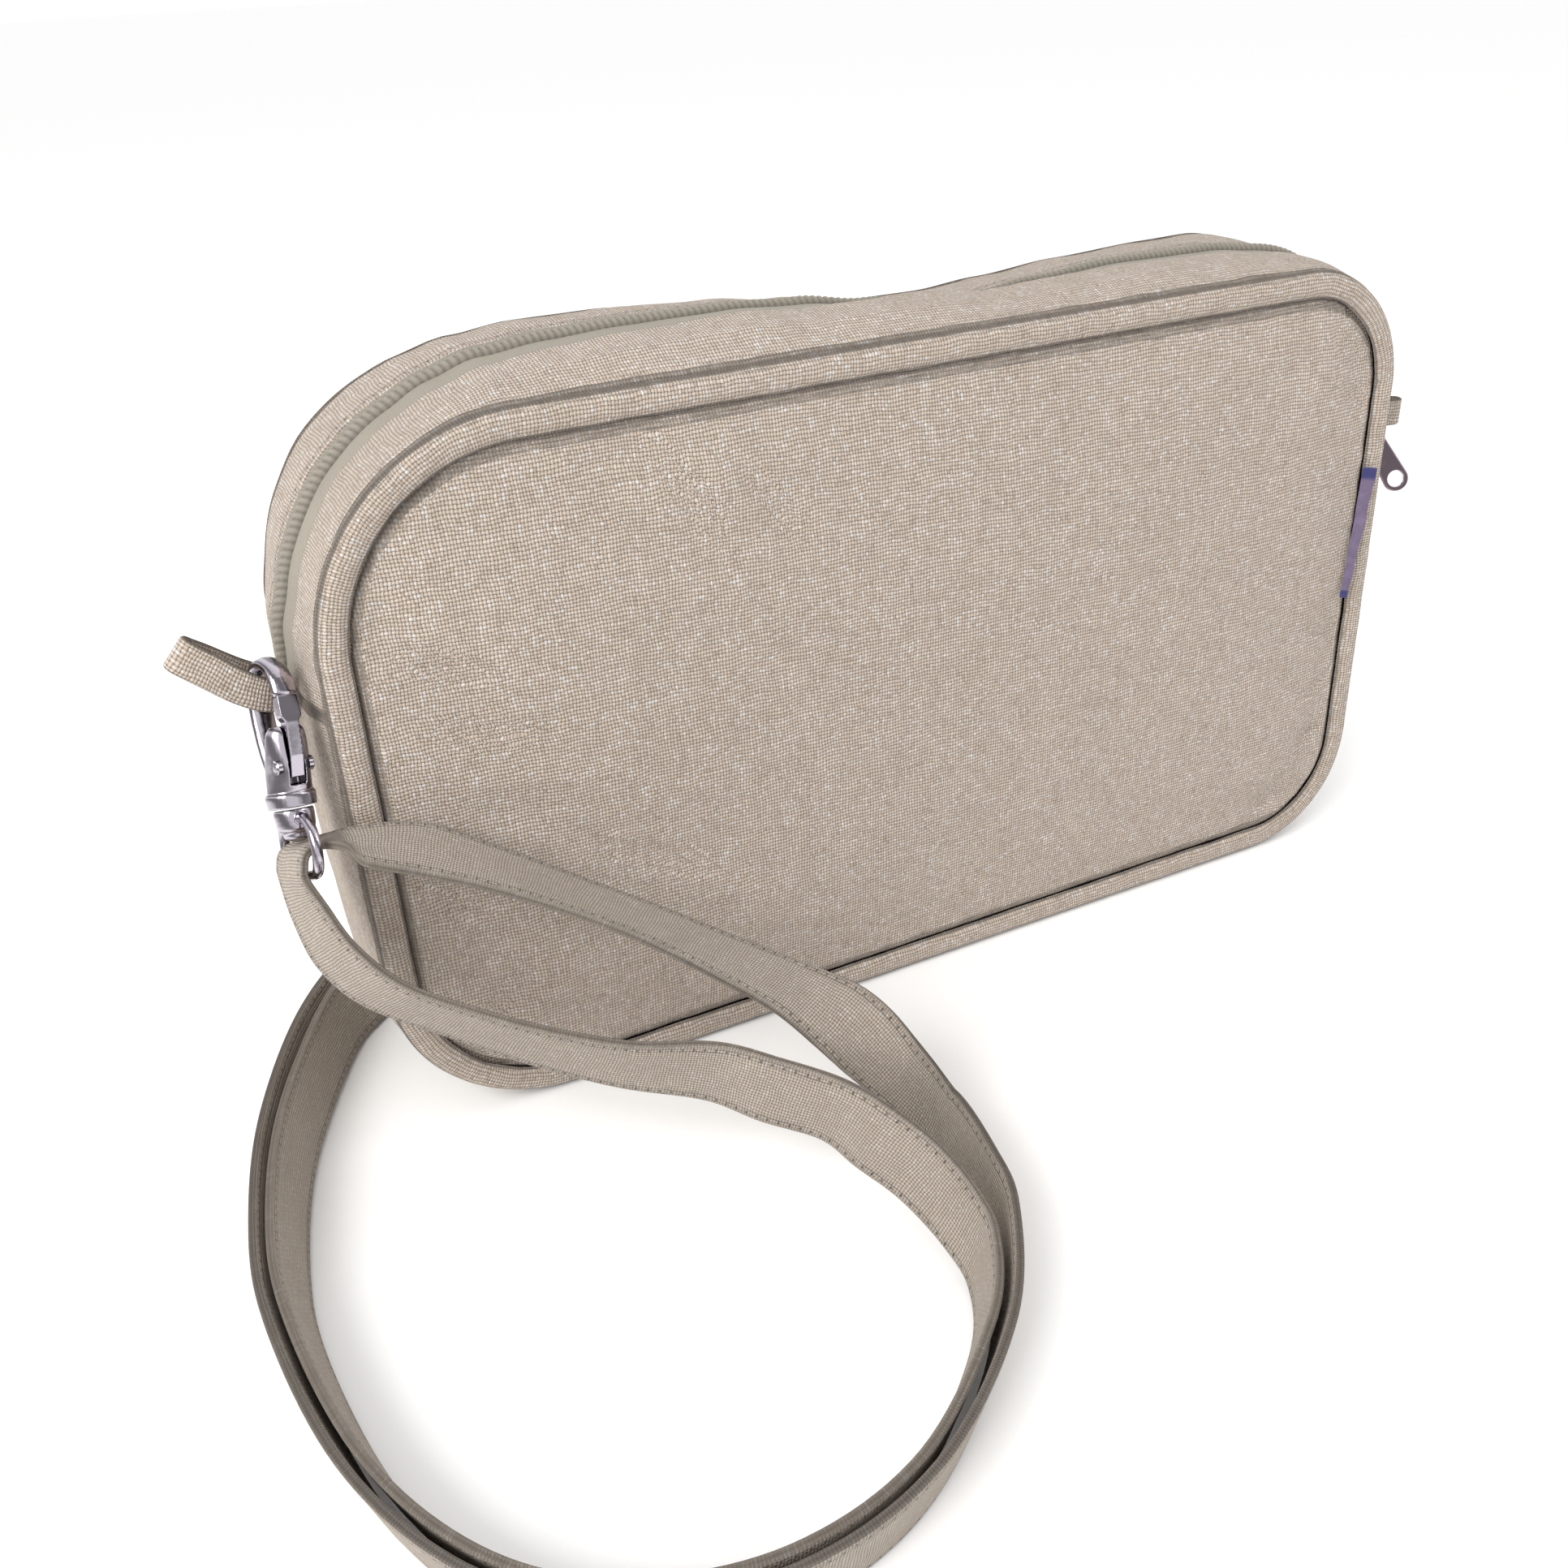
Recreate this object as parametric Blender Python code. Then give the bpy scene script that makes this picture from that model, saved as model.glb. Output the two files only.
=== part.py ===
"""Zip-round linen pouch that hangs on a long strap by a swivel trigger clip.

The pouch stands on its flat base. +X is to the right as seen from the front, -Y is
the front and +Z is up. The origin is the middle of the base. Lengths are in metres.
"""

import math

import bmesh
import bpy
from mathutils import Matrix, Vector

MM = 0.001

# Pouch: outline of the faces, and the gusset between them
BAG_WIDTH = 300.0 * MM
BAG_HEIGHT = 175.0 * MM
TOP_LEFT_RADIUS = 49.5 * MM
TOP_RIGHT_RADIUS = 34.5 * MM
BOTTOM_RIGHT_RADIUS = 33.0 * MM
BOTTOM_LEFT_RADIUS = 41.5 * MM
FRONT_BAND = 19.5 * MM
ZIP_OPENING = 12.0 * MM
BACK_BAND = 20.5 * MM
BAG_DEPTH = FRONT_BAND + ZIP_OPENING + BACK_BAND
LEFT_SEAM_DROP = 10.5 * MM
RIGHT_SEAM_DROP = 13.5 * MM
CLOTH = 1.6 * MM
SEAM_GAP = 0.4 * MM
PANEL_GAP = 0.6 * MM
SWELL = 8.0 * MM

# Border strip and crowned faces
WELT_WIDTH = 7.0 * MM
WELT_RISE = 2.4 * MM
PANEL_STEP = 1.2 * MM
PANEL_CROWN = 4.5 * MM
CROWN_REACH = 55.0 * MM
DENT_DEPTH = 2.2 * MM

# Zip
COIL_WIDTH = 5.8 * MM
COIL_RISE = 1.7 * MM
COIL_MARGIN = 1.3 * MM
TAPE_THICKNESS = 1.0 * MM
SLIDER_LENGTH = 9.0 * MM
SLIDER_WIDTH = 8.6 * MM
SLIDER_RISE = 2.6 * MM
SLIDER_HEIGHT = 8.6 * MM
CROWN_RISE = 3.4 * MM
JUMP_RING_RADIUS = 3.2 * MM
JUMP_RING_WIRE = 0.45 * MM
PULL_EYE_RADIUS = 1.25 * MM
PULL_LENGTH = 31.0 * MM
PULL_TOP_WIDTH = 4.4 * MM
PULL_END_WIDTH = 7.4 * MM
PULL_THICKNESS = 1.3 * MM
PULL_HOLE_RADIUS = 2.45 * MM

# Loops at both ends of the zip, and the label
TAB_WIDTH = 8.0 * MM
TAB_LENGTH = 27.0 * MM
TAB_CLOTH = 1.5 * MM
END_TAB_LENGTH = 26.5 * MM
END_TAB_DROP = math.radians(1.0)
END_TAB_LEAN = math.radians(10.0)
LABEL_LENGTH = 38.5 * MM
LABEL_WIDTH = 4.2 * MM
LABEL_THICKNESS = 0.8 * MM

# Trigger clip, hanging from the loop with its gate to the front
HOOK_WIRE = 3.3 * MM
HOOK_BREADTH = 5.4 * MM
EYE_WIDTH = 9.6 * MM
BARREL_RADIUS = 5.2 * MM
BARREL_TOP = 15.3 * MM
BARREL_LENGTH = 17.7 * MM
SLOT_WIDTH = 3.7 * MM
SLOT_OVERRUN = 1.0 * MM
GATE_WIDTH = 3.0 * MM
GATE_PIVOT_DROP = 24.0 * MM
GATE_PLAY = 0.2 * MM
TIP_DROP = 0.3 * MM
SHOULDER_RISE = 1.8 * MM
SHOULDER_HEIGHT = 1.2 * MM
GATE_BULGE = 2.0 * MM
GATE_TAIL = 2.6 * MM
PIN_RADIUS = 0.9 * MM
PIN_CLEARANCE = 0.35 * MM
COLLAR_RADIUS = 4.3 * MM
COLLAR_HEIGHT = 5.2 * MM
RING_INNER = 20.6 * MM
RING_WIRE = 2.4 * MM
RING_DROP = 14.8 * MM
CLIP_LEAN = math.radians(24.0)
CLIP_SWAY = math.radians(4.6)
CLIP_TURN = math.radians(18.0)
CLIP_OUTSET = 5.2 * MM
CLIP_GAP = 0.8 * MM
CLIP_RISE = 11.8 * MM
RING_SWIVEL = math.radians(-8.0)

# Strap: a closed loop, threaded through the ring and doubled on the ground
STRAP_WIDTH = 19.0 * MM
STRAP_THICKNESS = 2.0 * MM
STRAP_LEAN = math.radians(15.0)
LOOP_WIDTH = 154.0 * MM
LOOP_LENGTH = 221.0 * MM
LOOP_INSET = 112.0 * MM
LOOP_FORWARD = 80.0 * MM
LOOP_SHIFT = 0.12
LANDING_SHIFT = 0.3

# Steps of the meshes
CORNER_STEPS = 7
SIDE_STEPS = 5
TOP_STEPS = 14
PANEL_ROWS = 9
STRAP_STEPS = 3
ROUND_STEPS = 12

FRONT = -BAG_DEPTH / 2
BACK = BAG_DEPTH / 2
COIL_SHARE = 1 - (BACK_BAND + COIL_MARGIN + COIL_WIDTH / 2) / BAG_DEPTH
FRONT_EDGE_SHARE = FRONT_BAND / BAG_DEPTH
BACK_EDGE_SHARE = 1 - BACK_BAND / BAG_DEPTH

# Swell of the zipped part of the gusset, as shares of SWELL.
# Columns: share of the way from the left seam to the right one, front edge, coil, back seam
ZIP_SWELL = [
    (0.000, 0.45, 0.62, 0.30),
    (0.030, 0.22, 0.56, 0.30),
    (0.060, 0.00, 0.34, 0.19),
    (0.100, 0.00, 0.27, 0.25),
    (0.140, 0.08, 0.28, 0.37),
    (0.180, 0.14, 0.36, 0.40),
    (0.210, 0.34, 0.54, 0.46),
    (0.240, 0.60, 0.80, 0.65),
    (0.280, 0.80, 0.97, 0.82),
    (0.330, 0.92, 1.02, 0.80),
    (0.400, 0.98, 0.98, 0.60),
    (0.450, 0.80, 0.84, 0.30),
    (0.500, 0.76, 0.45, 0.06),
    (0.540, 0.68, 0.12, -0.10),
    (0.580, 0.48, 0.08, -0.12),
    (0.630, 0.57, 0.34, 0.04),
    (0.700, 0.63, 0.56, 0.26),
    (0.780, 0.52, 0.54, 0.39),
    (0.830, 0.30, 0.32, 0.42),
    (0.880, 0.36, 0.40, 0.36),
    (0.955, 0.45, 0.61, 0.16),
    (1.000, 0.45, 0.62, 0.12),
]

# Swell of the gusset below the seams, as shares of SWELL.
# Columns: share of the way from the right seam down and round to the left one, front, middle, back
BASE_SWELL = [
    (0.000, 0.45, 0.62, 0.12),
    (0.100, 0.30, 0.42, 0.05),
    (0.190, 0.10, 0.14, 0.00),
    (0.275, 0.00, 0.00, 0.00),
    (0.735, 0.00, 0.00, 0.00),
    (0.850, 0.24, 0.30, 0.02),
    (0.920, 0.38, 0.50, 0.16),
    (1.000, 0.45, 0.62, 0.30),
]

# Dents of the front face. Columns: place along the width, place up the height, spread along
# the width, spread up the height, all as shares of the face, and depth as a share of DENT_DEPTH
FRONT_DENTS = [
    (0.045, 0.86, 0.022, 0.055, 0.75),
    (0.040, 0.76, 0.022, 0.045, 0.85),
    (0.090, 0.66, 0.050, 0.060, 0.55),
    (0.100, 0.46, 0.060, 0.110, 0.95),
    (0.225, 0.33, 0.110, 0.085, 0.80),
    (0.080, 0.22, 0.035, 0.070, 0.70),
    (0.235, 0.93, 0.030, 0.055, 0.55),
    (0.165, 0.95, 0.020, 0.050, 0.45),
    (0.300, 0.87, 0.035, 0.100, -0.55),
    (0.420, 0.92, 0.040, 0.050, 0.35),
    (0.965, 0.86, 0.020, 0.060, 0.80),
    (0.970, 0.36, 0.018, 0.050, 0.80),
    (0.955, 0.21, 0.020, 0.050, 0.75),
    (0.900, 0.08, 0.035, 0.045, 0.70),
    (0.620, 0.60, 0.140, 0.200, -0.45),
]

# Dents of the back face, in the same columns
BACK_DENTS = [
    (0.120, 0.80, 0.040, 0.080, 0.60),
    (0.300, 0.35, 0.120, 0.100, 0.60),
    (0.700, 0.62, 0.120, 0.120, -0.50),
    (0.900, 0.25, 0.050, 0.080, 0.60),
    (0.560, 0.94, 0.080, 0.050, 0.70),
]

# Zip slider. Columns of the cover: place along the slider as a share of SLIDER_LENGTH, and
# width as a share of SLIDER_WIDTH. Columns of the crown: the same place, and rise as a share
# of CROWN_RISE
SLIDER_COVER = [(-0.50, 0.60), (-0.20, 0.90), (0.30, 1.00), (0.50, 0.85)]
SLIDER_CROWN = [
    (-0.34, 0.15),
    (-0.26, 0.85),
    (-0.10, 1.00),
    (0.14, 1.00),
    (0.30, 0.85),
    (0.38, 0.15),
]
PULL_DIRECTION = (0.34, -0.45, -0.83)
RING_SIDE = (-0.10, -0.96, 0.00)
PULL_FACE = (-0.35, -0.90, 0.04)

# Side label. Columns: way down as a share of LABEL_LENGTH, then the width and the shift to the
# middle of the face as shares of LABEL_WIDTH
LABEL_ROWS = [(0.00, 1.00, 0.00), (0.35, 0.82, 0.18), (0.75, 0.64, 0.48), (1.00, 0.52, 0.70)]
LABEL_LIFT = 0.2
LABEL_TOP = 0.677

# Barrel of the clip. Columns: way down as a share of BARREL_LENGTH, then the middle towards
# the front, half depth and half breadth as shares of BARREL_RADIUS
BARREL_ROWS = [
    (0.00, -0.69, 0.40, 0.62),
    (0.08, -0.62, 0.64, 0.80),
    (0.27, -0.46, 0.85, 0.87),
    (0.55, -0.19, 1.08, 0.88),
    (0.79, -0.04, 0.96, 0.92),
    (0.82, 0.00, 0.99, 0.99),
    (0.86, 0.00, 1.04, 1.04),
    (1.00, 0.00, 1.00, 1.00),
]

# Swivel under the barrel. Columns: way down as a share of COLLAR_HEIGHT, and radius as a share
# of COLLAR_RADIUS
COLLAR_ROWS = [
    (0.00, 0.84),
    (0.08, 1.00),
    (0.80, 0.95),
    (0.98, 0.74),
    (1.20, 0.68),
    (1.34, 0.42),
    (1.40, 0.16),
]

# One half of the ring, from its shoulder down to the middle of its bar. Columns: out from the
# middle as a share of half the ring, and up from the bar as a share of the ring's height
RING_ROWS = [
    (0.24, 1.00),
    (0.58, 1.00),
    (0.84, 0.86),
    (0.98, 0.60),
    (0.96, 0.30),
    (0.80, 0.08),
    (0.46, 0.01),
    (0.00, 0.00),
]

# Loop that holds the clip. Columns: out from the left side as a share of TAB_LENGTH, across as
# a share of BAG_DEPTH, up from the seam as a share of TAB_LENGTH, and the slope in degrees
TAB_ROWS = [
    (0.158, -0.205, 0.070, 3),
    (0.370, -0.258, 0.140, 20),
    (0.560, -0.264, 0.265, 33),
    (0.740, -0.262, 0.430, 40),
    (0.900, -0.253, 0.575, 42),
    (0.942, -0.244, 0.613, 42),
    (0.959, -0.222, 0.628, 42),
    (0.942, -0.200, 0.613, 42),
    (0.900, -0.191, 0.575, 42),
    (0.800, -0.165, 0.485, 40),
    (0.560, -0.122, 0.270, 33),
    (0.370, -0.112, 0.150, 22),
    (0.195, -0.108, 0.070, 3),
]

# Fold of the strap over the ring's bar, in the ring's own frame. Columns: to the side, to the
# front and up from the bar, in strap thicknesses
FOLD = [
    (-1.36, 0.00, -0.20),
    (-1.32, 0.00, 1.20),
    (-0.90, 0.00, 2.40),
    (0.00, 0.00, 2.95),
    (1.40, 0.05, 3.15),
]

# Strap in the air, from the ring's bar to where it stands on the ground. Columns: shares of
# the way across, forward and down, then the heading and rise of the marked edge in degrees
BACK_RUN = [
    (0.063, 0.042, -0.100, -84, 17),
    (0.094, 0.126, -0.110, -95, 4),
    (0.191, 0.153, -0.063, -110, -5),
    (0.294, 0.209, 0.025, -112, 1),
    (0.419, 0.284, 0.151, -119, 9),
    (0.549, 0.378, 0.286, -125, 11),
    (0.680, 0.487, 0.439, -132, 7),
    (0.801, 0.605, 0.582, -148, -2),
    (0.872, 0.722, 0.685, -162, -27),
    (0.935, 0.843, 0.831, 155, -50),
    (1.000, 1.000, 1.000, 159, -75),
]
FRONT_RUN = [
    (-0.014, 0.054, 0.088, -69, 35),
    (0.014, 0.114, 0.204, -62, 36),
    (0.082, 0.172, 0.322, -60, 36),
    (0.204, 0.233, 0.429, -68, 44),
    (0.352, 0.303, 0.541, -69, 52),
    (0.507, 0.381, 0.623, -72, 63),
    (0.665, 0.468, 0.653, -60, 74),
    (0.757, 0.559, 0.684, -34, 73),
    (0.857, 0.651, 0.724, -41, 70),
    (0.910, 0.740, 0.774, -33, 60),
    (0.963, 0.826, 0.842, -40, 60),
    (1.000, 0.914, 0.935, -40, 68),
    (1.000, 1.000, 1.000, -30, 75),
]

# Strap on the ground, from the front right round to behind the pouch. Columns: place across as
# a share of LOOP_WIDTH, place along as a share of LOOP_LENGTH, and the distance to the inner
# run as a share of STRAP_WIDTH
GROUND_RUN = [
    (0.490, -0.075, 0.30),
    (0.473, -0.170, 0.26),
    (0.440, -0.245, 0.21),
    (0.330, -0.355, 0.20),
    (0.143, -0.448, 0.18),
    (-0.050, -0.473, 0.18),
    (-0.233, -0.436, 0.18),
    (-0.367, -0.355, 0.19),
    (-0.458, -0.218, 0.19),
    (-0.497, -0.033, 0.19),
    (-0.484, 0.103, 0.19),
    (-0.431, 0.260, 0.22),
    (-0.325, 0.428, 0.26),
]
LANDING_ROW = 2

# Hidden end of the strap behind the pouch. Columns: across and back from the last ground row
# in strap widths, and the turn of the marked edge from straight down in degrees
FAR_RUN = [
    (1.06, 1.26, 15),
    (2.69, 2.38, 15),
    (4.30, 2.95, 15),
    (5.60, 2.95, 15),
    (6.25, 2.30, 15),
    (5.60, 1.66, 15),
    (4.70, 1.62, 35),
    (3.70, 1.66, 90),
    (2.70, 1.62, 145),
    (1.75, 1.32, 165),
    (0.85, 0.62, 165),
]


def clear_scene():
    """Remove whatever the file opened with."""
    for item in list(bpy.data.objects):
        bpy.data.objects.remove(item, do_unlink=True)


def material(name, color, roughness, metallic=0.0):
    """A plain surface with the colour that the photograph shows."""
    made = bpy.data.materials.new(name)
    made.use_nodes = True
    shader = made.node_tree.nodes["Principled BSDF"]
    shader.inputs["Base Color"].default_value = (*color, 1.0)
    shader.inputs["Roughness"].default_value = roughness
    shader.inputs["Metallic"].default_value = metallic
    return made


def add_object(name, bm, surface, sharp_degrees=40.0):
    """Turn a finished bmesh into a named object with smooth round faces."""
    bmesh.ops.recalc_face_normals(bm, faces=bm.faces[:])
    mesh = bpy.data.meshes.new(name)
    bm.to_mesh(mesh)
    bm.free()
    mesh.materials.append(surface)
    mesh.shade_smooth()
    mesh.set_sharp_from_angle(angle=math.radians(sharp_degrees))
    made = bpy.data.objects.new(name, mesh)
    bpy.context.scene.collection.objects.link(made)
    return made


def skin(rings, closed=False, capped=True):
    """A bmesh of quads through rings of points that all have the same number of points."""
    bm = bmesh.new()
    rows = [[bm.verts.new(point) for point in ring] for ring in rings]
    count = len(rings[0])
    spans = len(rows) if closed else len(rows) - 1
    for i in range(spans):
        here = rows[i]
        after = rows[(i + 1) % len(rows)]
        for k in range(count):
            m = (k + 1) % count
            bm.faces.new((here[k], after[k], after[m], here[m]))
    if capped and not closed:
        bm.faces.new(rows[0])
        bm.faces.new(rows[-1][::-1])
    return bm


def sheet(rows):
    """A bmesh of quads over a grid of points, open at its edges."""
    bm = bmesh.new()
    made = [[bm.verts.new(point) for point in row] for row in rows]
    for here, after in zip(made, made[1:]):
        for k in range(len(here) - 1):
            bm.faces.new((here[k], after[k], after[k + 1], here[k + 1]))
    return bm


def add_cloth(name, rows, wall, surface):
    """Cloth of an even wall, centred on a grid of points."""
    made = add_object(name, sheet(rows), surface)
    thicken = made.modifiers.new("wall", "SOLIDIFY")
    thicken.thickness = wall
    thicken.offset = 0.0
    thicken.use_even_offset = True
    return made


def between(table, place):
    """Values of a table at a place, eased from row to row."""
    for low, high in zip(table, table[1:]):
        if place <= high[0]:
            share = (place - low[0]) / (high[0] - low[0])
            share = max(0.0, share)
            eased = share * share * (3.0 - 2.0 * share)
            return [a + (b - a) * eased for a, b in zip(low[1:], high[1:])]
    return list(table[-1][1:])


def smooth_route(points, steps):
    """Points of a smooth curve through all the given points, with steps on each span."""
    route = []
    for i in range(len(points) - 1):
        before = points[max(i - 1, 0)]
        start, end = points[i], points[i + 1]
        after = points[min(i + 2, len(points) - 1)]
        for step in range(steps):
            t = step / steps
            route.append(0.5 * (
                2 * start
                + (end - before) * t
                + (2 * before - 5 * start + 4 * end - after) * t ** 2
                + (3 * start - before - 3 * end + after) * t ** 3
            ))
    route.append(points[-1])
    return route


# Outline of the faces. A sample is a point (x, z) with the outward normal there


def straight(start, end, steps):
    """Samples on a straight stretch, travelled clockwise as seen from the front."""
    along = (Vector(end) - Vector(start)).normalized()
    normal = Vector((-along.y, along.x))
    return [(Vector(start).lerp(Vector(end), i / steps), normal) for i in range(steps)]


def corner(centre, radius, start_degrees):
    """Samples on a quarter circle, travelled clockwise from its start angle."""
    samples = []
    for i in range(CORNER_STEPS):
        angle = math.radians(start_degrees - 90.0 * i / CORNER_STEPS)
        normal = Vector((math.cos(angle), math.sin(angle)))
        samples.append((Vector(centre) + radius * normal, normal))
    return samples


def zip_path():
    """The outline from the left seam over the top to the right seam."""
    left, right, top = -BAG_WIDTH / 2, BAG_WIDTH / 2, BAG_HEIGHT
    low = top - TOP_LEFT_RADIUS
    far = top - TOP_RIGHT_RADIUS
    path = straight((left, low - LEFT_SEAM_DROP), (left, low), 2)
    path += corner((left + TOP_LEFT_RADIUS, low), TOP_LEFT_RADIUS, 180.0)
    path += straight((left + TOP_LEFT_RADIUS, top), (right - TOP_RIGHT_RADIUS, top), TOP_STEPS)
    path += corner((right - TOP_RIGHT_RADIUS, far), TOP_RIGHT_RADIUS, 90.0)
    path += straight((right, far), (right, far - RIGHT_SEAM_DROP), 2)
    path.append((Vector((right, far - RIGHT_SEAM_DROP)), Vector((1.0, 0.0))))
    return path


def base_path():
    """The outline from the right seam down, along the base and up to the left seam."""
    left, right = -BAG_WIDTH / 2, BAG_WIDTH / 2
    left_seam = BAG_HEIGHT - TOP_LEFT_RADIUS - LEFT_SEAM_DROP
    right_seam = BAG_HEIGHT - TOP_RIGHT_RADIUS - RIGHT_SEAM_DROP
    path = straight((right, right_seam), (right, BOTTOM_RIGHT_RADIUS), SIDE_STEPS)
    path += corner((right - BOTTOM_RIGHT_RADIUS, BOTTOM_RIGHT_RADIUS), BOTTOM_RIGHT_RADIUS, 0.0)
    start = (right - BOTTOM_RIGHT_RADIUS, 0.0)
    path += straight(start, (left + BOTTOM_LEFT_RADIUS, 0.0), TOP_STEPS)
    path += corner((left + BOTTOM_LEFT_RADIUS, BOTTOM_LEFT_RADIUS), BOTTOM_LEFT_RADIUS, 270.0)
    path += straight((left, BOTTOM_LEFT_RADIUS), (left, left_seam), SIDE_STEPS)
    path.append((Vector((left, left_seam)), Vector((-1.0, 0.0))))
    return path


def way_shares(path):
    """The share of the way along a path at each of its samples."""
    way = [0.0]
    for (a, _), (b, _) in zip(path, path[1:]):
        way.append(way[-1] + (b - a).length)
    return [w / way[-1] for w in way]


def swell_at(values, across):
    """Outward swell at a share of the depth, from its front, coil and back values."""
    front, coil, back = (value * SWELL for value in values)
    knots = [
        (0.0, 0.0),
        (0.5 * FRONT_EDGE_SHARE, 0.74 * front),
        (FRONT_EDGE_SHARE, front),
        (COIL_SHARE, coil),
        (0.5 + 0.5 * COIL_SHARE, 0.6 * coil + 0.55 * back),
        (1.0, back),
    ]
    for (a, low), (b, high) in zip(knots, knots[1:]):
        if across <= b:
            return low + (high - low) * (across - a) / (b - a)
    return back


def gusset_point(sample, values, across, sink=0.0):
    """A point of the gusset at a share of the depth, sunk below its outer face."""
    point, normal = sample
    out = point + normal * (swell_at(values, across) - sink)
    return Vector((out.x, FRONT + across * BAG_DEPTH, out.y))


def swollen(path, table):
    """Each sample of a path with its row of swell values."""
    return [(sample, between(table, share)) for sample, share in zip(path, way_shares(path))]


def gusset_strip(stations, shares, sink):
    """Grid of a strip of the gusset between shares of the depth."""
    return [
        [gusset_point(sample, values, across, sink) for across in shares]
        for sample, values in stations
    ]


def spread(low, high, steps):
    """Evenly spaced shares from low to high."""
    return [low + (high - low) * i / steps for i in range(steps + 1)]


def shorten(path, start, end):
    """A path with its first and last samples moved in by the given lengths."""
    trimmed = list(path)
    first, second = trimmed[0], trimmed[1]
    trimmed[0] = (first[0] + (second[0] - first[0]).normalized() * start, first[1])
    last, before = trimmed[-1], trimmed[-2]
    trimmed[-1] = (last[0] + (before[0] - last[0]).normalized() * end, last[1])
    return trimmed


def make_gusset(linen, zip_tape):
    """Bands beside the zip, the band round the base, and the zip's tape and coil."""
    zip_stations = swollen(shorten(zip_path(), SEAM_GAP, SEAM_GAP), ZIP_SWELL)
    base_stations = swollen(base_path(), BASE_SWELL)
    sink = CLOTH / 2
    slit = 1.5 * SEAM_GAP / BAG_DEPTH
    front = spread(slit, FRONT_EDGE_SHARE, 4)
    back = spread(BACK_EDGE_SHARE, 1.0 - slit, 4)
    add_cloth("zip_band_front", gusset_strip(zip_stations, front, sink), CLOTH, linen)
    add_cloth("zip_band_back", gusset_strip(zip_stations, back, sink), CLOTH, linen)
    base = spread(slit, 1.0 - slit, 6)
    add_cloth("bottom_band", gusset_strip(base_stations, base, sink), CLOTH, linen)

    half = 0.5 * COIL_WIDTH / BAG_DEPTH
    tape = [FRONT_EDGE_SHARE + slit, COIL_SHARE - half, COIL_SHARE, COIL_SHARE + half]
    tape.append(BACK_EDGE_SHARE - slit)
    tape_rows = gusset_strip(zip_stations, tape, CLOTH - TAPE_THICKNESS / 2)
    add_cloth("zip_tape", tape_rows, TAPE_THICKNESS, zip_tape)

    under = CLOTH - TAPE_THICKNESS - SEAM_GAP
    profile = [(-1.0, 0.0), (-0.75, 0.8), (0.0, 1.0), (0.75, 0.8), (1.0, 0.0), (0.0, 0.0)]
    rings = []
    for sample, values in zip_stations:
        rings.append([
            gusset_point(sample, values, COIL_SHARE + half * side, under - COIL_RISE * rise)
            for side, rise in profile
        ])
    add_object("zip_coil", skin(rings), zip_tape)


def back_lift(path, table):
    """Samples of a path moved out by the swell of its back seam."""
    lifted = []
    for (point, normal), values in swollen(path, table):
        lifted.append((point + normal * values[2] * SWELL, normal))
    return lifted


def face_ring(side):
    """The whole outline at the front (-1) or the back (+1), as a closed list of samples."""
    if side < 0:
        return zip_path()[:-1] + base_path()[:-1]
    return back_lift(zip_path(), ZIP_SWELL)[:-1] + back_lift(base_path(), BASE_SWELL)[:-1]


def make_welt(name, side, linen):
    """The raised border strip round one face, domed to the outside."""
    seam = side * BAG_DEPTH / 2
    profile = [
        (0.0, 0.0), (0.02, 0.5), (0.22, 0.94), (0.62, 1.0), (0.95, 0.62), (1.0, 0.0),
    ]
    rings = []
    for point, normal in face_ring(side):
        ring = []
        for inward, rise in profile:
            place = point - normal * WELT_WIDTH * inward
            ring.append(Vector((place.x, seam + side * WELT_RISE * rise, place.y)))
        rings.append(ring)
    add_object(name, skin(rings, closed=True), linen)


def dent(dents, along, up):
    """Depth of all dents at a place of the face."""
    total = 0.0
    for x, z, wide, tall, depth in dents:
        reach = ((along - x) / wide) ** 2 + ((up - z) / tall) ** 2
        total += depth * math.exp(-reach)
    return total * DENT_DEPTH


def border_distance(place, ring):
    """Distance from a place of the face to its closed border."""
    best = BAG_WIDTH
    for a, b in zip(ring, ring[1:] + ring[:1]):
        along = b - a
        share = max(0.0, min(1.0, (place - a).dot(along) / along.length_squared))
        best = min(best, (place - a - along * share).length)
    return best


def make_panel(name, side, dents, linen):
    """A crowned face whose columns run from the bottom edge to the top edge."""
    ring = [point - normal * (WELT_WIDTH + PANEL_GAP) for point, normal in face_ring(side)]
    turn = CORNER_STEPS + TOP_STEPS + CORNER_STEPS
    top = ring[2:2 + turn + 1]
    bottom_start = len(zip_path()) - 1 + SIDE_STEPS
    bottom = ring[bottom_start:bottom_start + turn + 1][::-1]
    seam = side * (BAG_DEPTH / 2 + PANEL_STEP - CLOTH / 2)
    rows = []
    for low, high in zip(bottom, top):
        row = []
        for step in range(PANEL_ROWS + 1):
            place = low.lerp(high, step / PANEL_ROWS)
            inward = border_distance(place, ring)
            fullness = 1.0 - (1.0 - min(1.0, inward / CROWN_REACH)) ** 2
            depth = dent(dents, place.x / BAG_WIDTH + 0.5, place.y / BAG_HEIGHT)
            out = PANEL_CROWN * fullness - depth * min(1.0, inward / WELT_WIDTH)
            row.append(Vector((place.x, seam + side * out, place.y)))
        rows.append(row)
    add_cloth(name, rows, CLOTH, linen)


# Zip slider, jump ring and pull at the right end of the zip


def right_seam_height():
    """Height of the seam at the right end of the zip."""
    return BAG_HEIGHT - TOP_RIGHT_RADIUS - RIGHT_SEAM_DROP


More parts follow.
